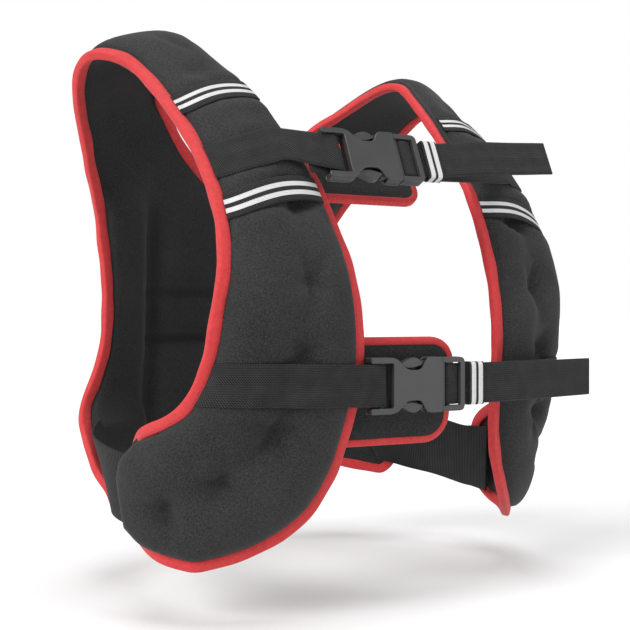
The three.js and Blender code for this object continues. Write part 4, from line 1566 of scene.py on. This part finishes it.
@dataclass(frozen=True)
class FlapSize:
    """A flap's edges from the buckle's origin, its corners' radius and how far behind it lies."""

    left: float
    right: float
    up: float
    down: float
    corner: float
    behind: float
    lean: float


@dataclass
class StrapSet:
    """One buckled strap: webbing of both sides, keeper, buckle and the flap behind it."""

    shell: Shell
    name: str
    place: tuple[float, float, float]
    turn: float
    lean: float
    tail_end: tuple[float, float, float]
    flap: FlapSize
    start: float = 0.965
    leave: float = 0.36
    panel_rows: int = 30
    webbing_thick: float = 1.6
    over_face: float = 0.45
    free_lift: float = 1.5
    clearance: float = 1.3
    keeper_at: float = 89.0
    keeper_width: float = 14.0
    keeper_thick: float = 1.2
    tail_bow: float = 2.5
    tail_wave: float = 0.8
    flap_inset: float = 2.2
    flap_half: float = 1.4
    flap_crown: float = 1.3
    flap_tape: tuple[float, float] = (6.0, 6.2)

    def __post_init__(self) -> None:
        """Works out the buckle's frame and the webbing's two layers."""
        self.frame = BuckleFrame(self.place, self.turn, self.lean)
        self.layer = BAR_SIZE[1] / 2 + self.clearance

    def on_panel(self, side: str) -> Array:
        """The webbing's rows over the left panel from the armhole to where it leaves.

        Args:
            side: right or left, as its line is named.

        Returns:
            The rows.
        """
        steps = np.linspace(0, 1, self.panel_rows) ** 1.3
        across = self.start + (self.leave - self.start) * steps
        line = STRAP_LINES[f"{self.name}_{side}"]
        loose = smooth_step((STRAP_FREE + FREE_SPAN / 2 - across) / FREE_SPAN)
        clear = self.webbing_thick / 2 + self.over_face + self.free_lift * loose
        return over_panel(self.shell, across, line, clear, line.press * (1 - loose))

    def rows(self, u: Array, v: Array) -> Array:
        """Straight rows of webbing at lengths along and out of the buckle.

        Args:
            u: lengths along the buckle.
            v: lengths out of it.

        Returns:
            The rows.
        """
        w = np.linspace(-WEBBING_WIDTH / 2, WEBBING_WIDTH / 2, STRAP_COLUMNS)
        u, v = np.atleast_1d(u).astype(float), np.atleast_1d(v).astype(float)
        return self.frame.at(u[:, None], w[None], v[:, None])

    def around(self, bar_at: float, first: float, count: int = 15) -> Array:
        """Rows of half an oval about a bar, going clockwise from a first angle.

        Args:
            bar_at: the bar's place.
            first: the first angle.
            count: how many rows.

        Returns:
            The rows.
        """
        angle = first - np.linspace(0, np.pi, count)
        u = bar_at + np.cos(angle) * (BAR_SIZE[0] / 2 + self.clearance)
        return self.rows(u, np.sin(angle) * self.layer)

    def right_webbing(self) -> MeshData:
        """From the right armhole over the panel, round the socket's bar and a little back.

        Returns:
            Its mesh.
        """
        over = self.on_panel("right") * np.array([-1.0, 1.0, 1.0])
        loop = self.around(SOCKET_BAR, math.pi / 2)
        back = self.rows(np.array([2.0, -12.0]), np.array([-self.layer, -self.layer + 0.6]))
        return slab(even_rows(np.concatenate([over, loop, back]), 1.5, 2), self.webbing_thick)

    def left_webbing(self) -> MeshData:
        """From the left armhole to the plug's bar, round it and back as a free tail.

        Returns:
            Its mesh.
        """
        over = self.on_panel("left")
        keeper_end = self.keeper_at + self.keeper_width + 3
        under = self.rows(np.array([keeper_end, 84.0]), np.array([-self.layer, -self.layer]))
        loop = self.around(INNER_BAR, -math.pi / 2)
        through = self.rows(np.array([77.0, 80.5, 84.0, 88.0]), np.array([1.9, -0.3, -0.9, 1.6]))
        upper = self.rows(keeper_end, self.layer)
        end = np.array(self.tail_end) * SHARES - self.frame.at(keeper_end, 0, self.layer)
        share = np.linspace(0, 1, 12)[1:, None, None]
        bow = np.sin(np.pi * share) * self.tail_bow + self.tail_wave * np.sin(2.3 * np.pi * share)
        tail = upper + end * share + bow * self.frame.out
        lines = np.concatenate([over, under, loop, through, upper, tail])
        return slab(even_rows(lines, 1.5, 2), self.webbing_thick)

    def keeper(self) -> MeshData:
        """The elastic ring: a rounded oblong round both layers, carried as a wide flat band.

        Returns:
            Its mesh.
        """
        half_height = WEBBING_WIDTH / 2 + 1.1
        half_depth = self.layer + self.webbing_thick / 2 + 1.0
        loop = rounded_profile(2 * half_height, 2 * half_depth, 64, 0.28)
        loop = np.vstack([loop, loop[:1]])
        middle = self.keeper_at + self.keeper_width / 2
        points = self.frame.at(middle, loop[:, 0], loop[:, 1])
        tangent = unit(np.gradient(points, axis=0))
        tangent[[0, -1]] = unit(points[1] - points[-2])
        across = np.tile(self.frame.run, (len(points), 1))
        out = unit(np.cross(across, tangent))
        profile = strap_profile(self.keeper_width, self.keeper_thick, 8)
        return swept(points, across, out, profile, closed=True)

    def flap_meshes(self) -> tuple[MeshData, MeshData]:
        """The padded flap and the tape round its free edges.

        The flap is a plate whose half thickness falls at its edges as a quarter of an ellipse.

        Returns:
            The flap's mesh and the tape's.
        """
        frame = BuckleFrame(self.place, self.turn, self.flap.lean)
        left, right, corner = self.flap.left, self.flap.right, self.flap.corner
        up, down, inset = self.flap.up, self.flap.down, self.flap_inset
        share = np.sin(np.linspace(0, np.pi / 2, 40))
        u = (left + (right - left - inset) * share)[:, None]
        past = np.clip(u - (right - corner), 0, corner)
        drop = corner - np.sqrt(np.maximum(corner**2 - past**2, 0))
        w_share = (1 - np.cos(np.linspace(0, np.pi, 34))) / 2
        low, high = -down + drop + inset, up - drop - inset
        w = low + (high - low) * w_share
        u = np.broadcast_to(u, w.shape)
        edge = np.minimum(np.minimum(w - low, high - w), right - u)
        crown = np.sqrt(1 - (1 - np.clip(edge / 10, 0, 1)) ** 2)
        lift = self.flap_half + self.flap_crown * crown
        soft = 0.35 * np.sin(u / 9.0) * np.sin(w / 8.0)
        top = frame.at(u, w, lift + soft - self.flap.behind)
        bottom = frame.at(u, w, -lift + soft - self.flap.behind)
        lengths = np.stack([u, w], axis=-1)
        plate = closed_pair(top, bottom, lengths)

        inset = 2.75
        turn = np.linspace(-np.pi / 2, 0, 14)
        r = corner - inset
        cu = right - corner + r * np.cos(turn)
        lower = np.stack([cu, -down + corner + r * np.sin(turn)], axis=1)
        upper = np.stack([cu[::-1], up - corner - r * np.sin(turn[::-1])], axis=1)
        start = [[left, -down + inset]]
        finish = [[left, up - inset]]
        route = np.vstack([start, lower, upper, finish])
        points = frame.at(route[:, 0], route[:, 1], -self.flap.behind)
        (points,) = resampled(points, 1.8)
        tangent = unit(np.gradient(softened(points, 2), axis=0))
        out = np.tile(frame.out, (len(points), 1))
        across = unit(np.cross(out, tangent))
        return plate, swept(points, across, out, rounded_profile(*self.flap_tape, 16))

    def build(self, finishes: "Finishes") -> None:
        """Makes and dresses the set's pieces.

        Args:
            finishes: the vest's materials.
        """
        pieces = {
            f"{self.name}_strap_right": (self.right_webbing(), "webbing", "webbing_right"),
            f"{self.name}_strap_left": (self.left_webbing(), "webbing", "webbing_left"),
            f"{self.name}_strap_keeper": (self.keeper(), "elastic", "keeper"),
        }
        for name, (data, slot, node) in pieces.items():
            is_keeper = node == "keeper"
            obj = make_object(name, data, [finishes.keeper if is_keeper else finishes.webbing])
            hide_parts(f"{self.name}_{node}")
            width = self.keeper_width if is_keeper else WEBBING_WIDTH
            declare_strap(data, width)
            LOG.info("%s: %d faces", name, len(obj.data.polygons))
        plate, tape = self.flap_meshes()
        pad = make_object(f"{self.name}_flap_pad", plate, [finishes.panel])
        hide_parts(f"{self.name}_flap")
        edge = make_object(f"{self.name}_flap_edge", tape, [finishes.tape])
        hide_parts(f"{self.name}_flap_binding")
        Buckle(self.frame, self.name).build(finishes.plastic)


def plate_mesh(frame: "BuckleFrame", outline: Array, low: float, high: float) -> MeshData:
    """A flat outline of lengths along and up, extruded from one length out to another.

    Args:
        frame: the buckle's directions.
        outline: n by 2 lengths along and up.
        low: the length out at which it starts.
        high: the length out at which it ends.

    Returns:
        The closed mesh.
    """
    count = len(outline)
    bottom = frame.at(outline[:, 0], outline[:, 1], low)
    top = frame.at(outline[:, 0], outline[:, 1], high)
    k = np.arange(count)
    after = (k + 1) % count
    quads = np.stack([k, after, after + count, k + count], axis=1)
    points = np.vstack([bottom, top])
    uv = np.vstack([outline, outline])[quads]
    caps = [list(range(count))[::-1], [count + i for i in range(count)]]
    return MeshData(points, quads, uv, np.zeros(count, int), caps)


def rounded(corners: Array, radii: Array, steps: int = 5) -> Array:
    """A polygon whose corners are arcs: each is a quadratic curve between points a radius away.

    Args:
        corners: n by 2 corners.
        radii: a radius for each.
        steps: steps in an arc.

    Returns:
        The outline's points.
    """
    before = np.roll(corners, 1, axis=0)
    after = np.roll(corners, -1, axis=0)
    start = corners + unit(before - corners) * radii[:, None]
    end = corners + unit(after - corners) * radii[:, None]
    f = np.linspace(0, 1, steps + 1)[None, :, None]
    arcs = (1 - f) ** 2 * start[:, None] + 2 * f * (1 - f) * corners[:, None] + f**2 * end[:, None]
    return arcs.reshape(-1, 2)


@dataclass
class Buckle:
    """A side release buckle: a socket with scooped notches and a plug with curved release arms."""

    frame: BuckleFrame
    name: str
    half: float = 21.0
    thick: float = 10.0
    wall: float = 2.0
    legs: float = 20.0
    rim: float = 4.5
    length: float = 64.0
    gap: float = 0.5
    end: float = 85.0
    notch_start: float = 22.5
    notch_end: float = 50.0
    notch_depth: float = 9.5
    inset: float = 0.3
    arm_half: float = 3.1
    tongue_half: float = 2.3
    edge_radius: float = 0.9

    def socket_outline(self) -> Array:
        """The socket's plate with its two legs and its two scooped notches.

        Returns:
            The outline's points.
        """
        h, r, d = self.half, self.half - self.rim, self.notch_depth
        s, e = self.notch_start, self.notch_end
        upper = [
            (self.length, h, 1.6),
            (e, h, 4.0),
            (e - 5.5, h - d, 3.5),
            (s + 9.5, h - d, 4.5),
            (s, h, 5.5),
            (0.5, h, 1.2),
            (0.5, r, 1.0),
            (self.legs, r, 1.6),
        ]
        rows = np.array(upper + [(u, -w, c) for u, w, c in upper[::-1]])
        return rounded(rows[:, :2], rows[:, 2])

    def block(self, u: tuple[float, float], w: tuple[float, float], v: float) -> MeshData:
        """A plain block between lengths along and up, and a length out to each side."""
        outline = np.array([(u[0], w[0]), (u[1], w[0]), (u[1], w[1]), (u[0], w[1])])
        return plate_mesh(self.frame, outline, -v, v)

    def side_block(
        self, sign: int, u: tuple[float, float], near: float, far: float, v: float
    ) -> MeshData:
        """A block above or below the middle, between two distances from it.

        Args:
            sign: 1 above, -1 below.
            u: lengths along the buckle.
            near: the first distance.
            far: the second.
            v: half of its depth.

        Returns:
            Its mesh.
        """
        low, high = sorted((sign * near, sign * far))
        return self.block(u, (low, high), v)

    def arm(self, sign: int) -> MeshData:
        """A release arm: a lens between two arcs of parabolas, 4 f (1 - f) high.

        Args:
            sign: 1 for the upper arm, -1 for the lower.

        Returns:
            Its mesh.
        """
        f = np.linspace(0, 1, 15)
        u = self.notch_start + 4.5 + (self.notch_end - self.notch_start - 8.0) * f
        outer = self.half - 4.8 + 4.4 * 4 * f**1.4 * (1 - f**1.4)
        inner = self.half - 5.4 - 2.6 * 4 * f**0.8 * (1 - f**0.8)
        outline = np.stack([np.r_[u, u[::-1]], sign * np.r_[outer, inner[::-1]]], axis=1)
        return plate_mesh(self.frame, outline, -self.arm_half, self.arm_half)

    def socket(self) -> MeshData:
        """Two plates, the block between them beside the legs, the side walls and the bar.

        Returns:
            Its mesh.
        """
        half, inside = self.thick / 2, self.thick / 2 - self.wall
        outline = self.socket_outline()
        data = plate_mesh(self.frame, outline, inside, half)
        data = data.joined(plate_mesh(self.frame, outline, -half, -inside))
        data = data.joined(self.block((20.6, 23.5), (-self.half + 1.4, self.half - 1.4), inside))
        outside = self.half - self.inset
        beside_tongue = (self.notch_end + 1.2, self.length - self.inset)
        beside_bar = (1.2, self.legs + 1.5)
        for sign in (-1, 1):
            wall = self.side_block(sign, beside_tongue, outside, self.half - self.wall, inside)
            leg = self.side_block(sign, beside_bar, outside, self.half - self.rim + 0.4, inside)
            data = data.joined(wall).joined(leg)
        return data.joined(self.bar(SOCKET_BAR))

    def bar(self, at: float) -> MeshData:
        """The oval bar that the webbing goes round.

        Args:
            at: its place along the buckle.

        Returns:
            Its mesh.
        """
        w = np.linspace(-self.half + 3.0, self.half - 3.0, 9)
        path = self.frame.at(at, w, 0)
        across = np.tile(self.frame.run, (len(w), 1))
        out = np.tile(self.frame.out, (len(w), 1))
        return swept(path, across, out, rounded_profile(*BAR_SIZE, 20, 1.0))

    def plug(self) -> MeshData:
        """Two rails, the end bar over the webbing, the inner bar, the tongue and both arms.

        Returns:
            Its mesh.
        """
        h, r = self.half - 0.4, self.half - self.rim
        start, end = self.length + self.gap, self.end
        rows = np.array(
            [
                (start, -h, 0.8),
                (end, -h, 5.0),
                (end, h, 5.0),
                (start, h, 0.8),
                (start, r, 0.3),
                (end - 4.0, r, 1.5),
                (end - 4.0, -r, 1.5),
                (start, -r, 0.3),
            ]
        )
        data = plate_mesh(self.frame, rounded(rows[:, :2], rows[:, 2]), 0.5, 4.0)
        for sign in (-1, 1):
            rail = np.array([(start, r), (end - 1.2, r), (end - 1.2, h), (start, h)])
            outline = rounded(rail * [1, sign], np.array([0.3, 0.6, 3.0, 0.8]))
            data = data.joined(plate_mesh(self.frame, outline, -4.0, 0.4))
            root = self.side_block(sign, (46.0, start + 1), 13.6, 18.4, self.tongue_half)
            data = data.joined(root).joined(self.arm(sign))
        data = data.joined(self.block((start, start + 2.6), (-r - 1, r + 1), 2.6))
        data = data.joined(self.block((34.0, start + 1), (-4.5, 4.5), self.tongue_half))
        return data.joined(self.bar(INNER_BAR))

    def build(self, plastic: bpy.types.Material) -> None:
        """Makes both halves with softened edges.

        Args:
            plastic: its material.
        """
        for part, data in (("socket", self.socket()), ("plug", self.plug())):
            obj = make_object(f"{self.name}_{part}_moulding", data, [plastic])
            bevel = obj.modifiers.new("edges", "BEVEL")
            bevel.width = self.edge_radius * METRE
            bevel.segments = 3
            bevel.limit_method = "ANGLE"
            bevel.angle_limit = math.radians(35)
            bevel.harden_normals = True
            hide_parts(f"{self.name}_buckle_{part}")
            LOG.info("%s: %d faces", obj.name, len(obj.data.polygons))


@dataclass
class SideElastic:
    """The wide ribbed elastic between a wing and the back, by its lower and upper edges."""

    rows: Array
    thick: float = 2.0
    flat_width: float = 60.0
    unseen_rows: float = 0.9
    steps: int = 60

    def half(self) -> MeshData:
        """The elastic on the wearer's left, up to where it goes in under the back.

        Returns:
            Its mesh.
        """
        at = np.linspace(0, len(self.rows) - 1 - self.unseen_rows, self.steps)
        edges = smooth_rows(self.rows, at) * np.tile(SHARES, 2)
        low, high = edges[:, :3], edges[:, 3:]
        middle = (low + high) / 2
        across = unit(high - low)
        tangent = unit(np.gradient(middle, axis=0))
        out = unit(np.cross(tangent, across))
        width = np.linalg.norm(high - low, axis=1)
        profile = strap_profile(1.0, self.thick / self.flat_width, 12)
        scale = np.stack([width, np.full_like(width, self.flat_width)], axis=1)
        return swept(middle, across, out, profile[None] * scale[:, None])

    def build(self, cloth: bpy.types.Material) -> None:
        """Makes both elastics.

        Args:
            cloth: its material.
        """
        left = self.half()
        for side, data in (("left", left), ("right", left.mirrored())):
            obj = make_object(f"side_elastic_{side}_ribbed", data, [cloth])
            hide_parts(f"side_elastic_{side}")
            declare_strap(data, self.flat_width)
            LOG.info("%s: %d faces", obj.name, len(obj.data.polygons))


@dataclass
class BackPocket:
    """The mesh pocket over the lower back, with a narrow elastic edge at its mouth."""

    shell: Shell
    first: float = SIDE_LAST + 3.4
    last: float = SIDE_LAST + 7.6
    reach: float = 0.86
    thick: float = 1.2
    over_face: float = 0.8
    tape: tuple[float, float] = (11.0, 1.6)
    rows: int = 40
    columns: int = 90

    def build(self, mesh_cloth: bpy.types.Material, edge: bpy.types.Material) -> bpy.types.Object:
        """Makes the pocket over the padded face, with the tape along its upper edge.

        Args:
            mesh_cloth: the open mesh.
            edge: the tape at its mouth.

        Returns:
            The object.
        """
        across = np.linspace(-self.reach, self.reach, self.columns)
        along = np.linspace(self.first, self.last, self.rows)
        s, t = np.meshgrid(along, across, indexing="ij")
        sign = np.where(t < 0, -1.0, 1.0)
        face, n = self.shell.face(s, np.abs(t))
        face[..., 0] *= sign
        n[..., 0] *= sign
        lengths = np.stack([face[..., 0], face[..., 2]], axis=-1)
        inner = face + n * self.over_face
        outer = face + n * (self.over_face + self.thick)
        data = closed_pair(outer, inner, lengths)
        tape = swept(outer[0], unit(outer[1] - outer[0]), n[0], strap_profile(*self.tape, 6))
        tape.material[:] = 1
        obj = make_object("back_pocket_mesh", data.joined(tape), [mesh_cloth, edge])
        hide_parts("back_pocket")
        LOG.info("back pocket: %d faces", len(obj.data.polygons))
        return obj


@dataclass
class Finishes:
    """The materials of the vest's pieces."""

    panel: bpy.types.Material
    lining: bpy.types.Material
    tape: bpy.types.Material
    webbing: bpy.types.Material
    band: bpy.types.Material
    keeper: bpy.types.Material
    ribbed: bpy.types.Material
    mesh: bpy.types.Material
    plastic: bpy.types.Material


def make_finishes() -> Finishes:
    """Makes every material once.

    Returns:
        The materials.
    """
    return Finishes(
        panel=PanelCloth().build(),
        lining=PanelCloth(
            "lining_cloth",
            dark=(0.004, 0.004, 0.0042),
            light=(0.026, 0.026, 0.027),
            roughness=0.58,
            sheen=0.12,
        ).build(),
        tape=EdgeTape().build(),
        webbing=StrapCloth("strap_webbing", Weave.TWILL).build(),
        band=StrapCloth(
            "band_elastic", Weave.PLAIN, stripes=((-0.0055, -0.0020), (0.0018, 0.0053))
        ).build(),
        keeper=StrapCloth(
            "keeper_elastic", Weave.PLAIN, stripes=((-0.0052, -0.0014), (0.0012, 0.0050))
        ).build(),
        ribbed=StrapCloth(
            "ribbed_elastic",
            Weave.RIBBED,
            dark=(0.004, 0.004, 0.0045),
            light=(0.032, 0.032, 0.034),
        ).build(),
        mesh=OpenMesh().build(),
        plastic=MouldedPlastic().build(),
    )


# Soft lights from far away: direction that it comes from, strength, angular size in degrees
SUNS = {
    "key": ((-2.3, -0.1, 1.2), 2.7, 34),
    "fill": ((0.9, -2.2, 0.9), 0.8, 40),
    "top": ((-0.1, -0.15, 2.0), 1.5, 36),
}


@dataclass
class Studio:
    """The floor, lights and camera, in metres."""

    floor_height: float = -0.43
    floor_size: float = 120.0
    floor_paint: tuple[float, float, float] = (0.93, 0.93, 0.93)
    azimuth: float = 42.0
    camera_height: float = -0.205
    distance: float = 1.011
    lens: float = 66.3
    sensor_width: float = 36.0
    ambient: float = 0.34

    def sun(self, name: str, toward: Sequence[float], strength: float, spread: float) -> None:
        """Adds a soft light from far away.

        Args:
            name: the light's name.
            toward: the direction that it comes from.
            strength: its strength.
            spread: its angular size in degrees.
        """
        light = bpy.data.lights.new(name, "SUN")
        light.energy = strength
        light.angle = math.radians(spread)
        lamp = bpy.data.objects.new(name, light)
        bpy.context.scene.collection.objects.link(lamp)
        lamp.location = Vector(toward) * 2
        lamp.rotation_euler = (-Vector(toward)).to_track_quat("-Z", "Y").to_euler()

    def floor(self) -> None:
        """Makes the plain floor."""
        bpy.ops.mesh.primitive_plane_add(size=self.floor_size, location=(0, 0, self.floor_height))
        floor = bpy.context.object
        floor.name = "floor"
        g = Graph("floor_paint")
        paint = g.surface({"Base Color": (*self.floor_paint, 1), "Roughness": 0.95})
        floor.data.materials.append(paint)

    def surroundings(self) -> None:
        """Makes the white surroundings, which light the vest less brightly than they look."""
        g = Graph("studio", world=True)
        seen = g.value("ShaderNodeLightPath", "Is Camera Ray", {}, {})
        strength = seen * (1.0 - self.ambient) + self.ambient
        white = {"Color": (1, 1, 1, 1), "Strength": strength}
        back = g.add("ShaderNodeBackground", {}, white)
        g.tree.links.new(back.outputs["Background"], g.output.inputs["Surface"])
        bpy.context.scene.world = g.owner
        bpy.context.scene.view_settings.view_transform = "Standard"

    def camera(self) -> None:
        """Makes the camera, level and turned by its azimuth, which looks past the origin."""
        a = math.radians(self.azimuth)
        ahead = Vector((math.sin(a), math.cos(a), 0))
        data = bpy.data.cameras.new("camera")
        data.lens = self.lens
        data.sensor_width = self.sensor_width
        camera = bpy.data.objects.new("camera", data)
        bpy.context.scene.collection.objects.link(camera)
        camera.location = -ahead * self.distance + Vector((0, 0, self.camera_height))
        camera.rotation_euler = ahead.to_track_quat("-Z", "Y").to_euler()
        bpy.context.scene.camera = camera

    def build(self) -> None:
        """Makes the floor, the surroundings, the lights and the camera."""
        self.floor()
        self.surroundings()
        for name, (toward, energy, spread) in SUNS.items():
            self.sun(name, toward, energy, spread)
        self.camera()


# Sections of a side elastic: lower edge x, y, z and upper edge x, y, z as shares of the sizes
ELASTIC_ROWS = {
    "in the wing": (0.9, -0.15, -0.93, 0.95, -0.125, -0.78),
    "wing end": (0.925, -0.075, -0.925, 0.945, -0.06, -0.78),
    "wing tip": (0.93, -0.02, -0.922, 0.95, -0.01, -0.78),
    "side": (0.925, 0.1, -0.908, 0.955, 0.115, -0.766),
    "back of side": (0.86, 0.18, -0.895, 0.9, 0.25, -0.752),
    "lobe edge": (0.745, 0.235, -0.875, 0.745, 0.4, -0.738),
    "in the lobe": (0.655, 0.28, -0.868, 0.66, 0.425, -0.733),
}


def main() -> None:
    """Builds the studio and every piece in order."""
    Studio().build()
    finishes = make_finishes()
    shell = Shell()
    PaddedBody(shell).build(finishes.panel, finishes.lining)
    EdgeBinding(shell).build(finishes.tape)
    StripedBand(shell, "upper_band").build(finishes.band)
    StripedBand(shell, "lower_band").build(finishes.band)
    StrapSet(
        shell,
        "chest",
        place=(-0.49, -0.418, -0.214),
        turn=13,
        lean=24,
        tail_end=(0.69, -0.515, -0.178),
        flap=FlapSize(-17.9, 102.0, 41.2, 16.0, corner=15.1, behind=34.9, lean=33),
    ).build(finishes)
    StrapSet(
        shell,
        "waist",
        place=(-0.39, -0.516, -0.6435),
        turn=13,
        lean=0,
        tail_end=(0.82, -0.6, -0.6435),
        flap=FlapSize(-27.2, 88.0, 33.0, 50.0, corner=21.8, behind=19.9, lean=-8),
    ).build(finishes)
    SideElastic(np.array(list(ELASTIC_ROWS.values()))).build(finishes.ribbed)
    BackPocket(shell).build(finishes.mesh, finishes.webbing)


if __name__ == "__main__":
    main()
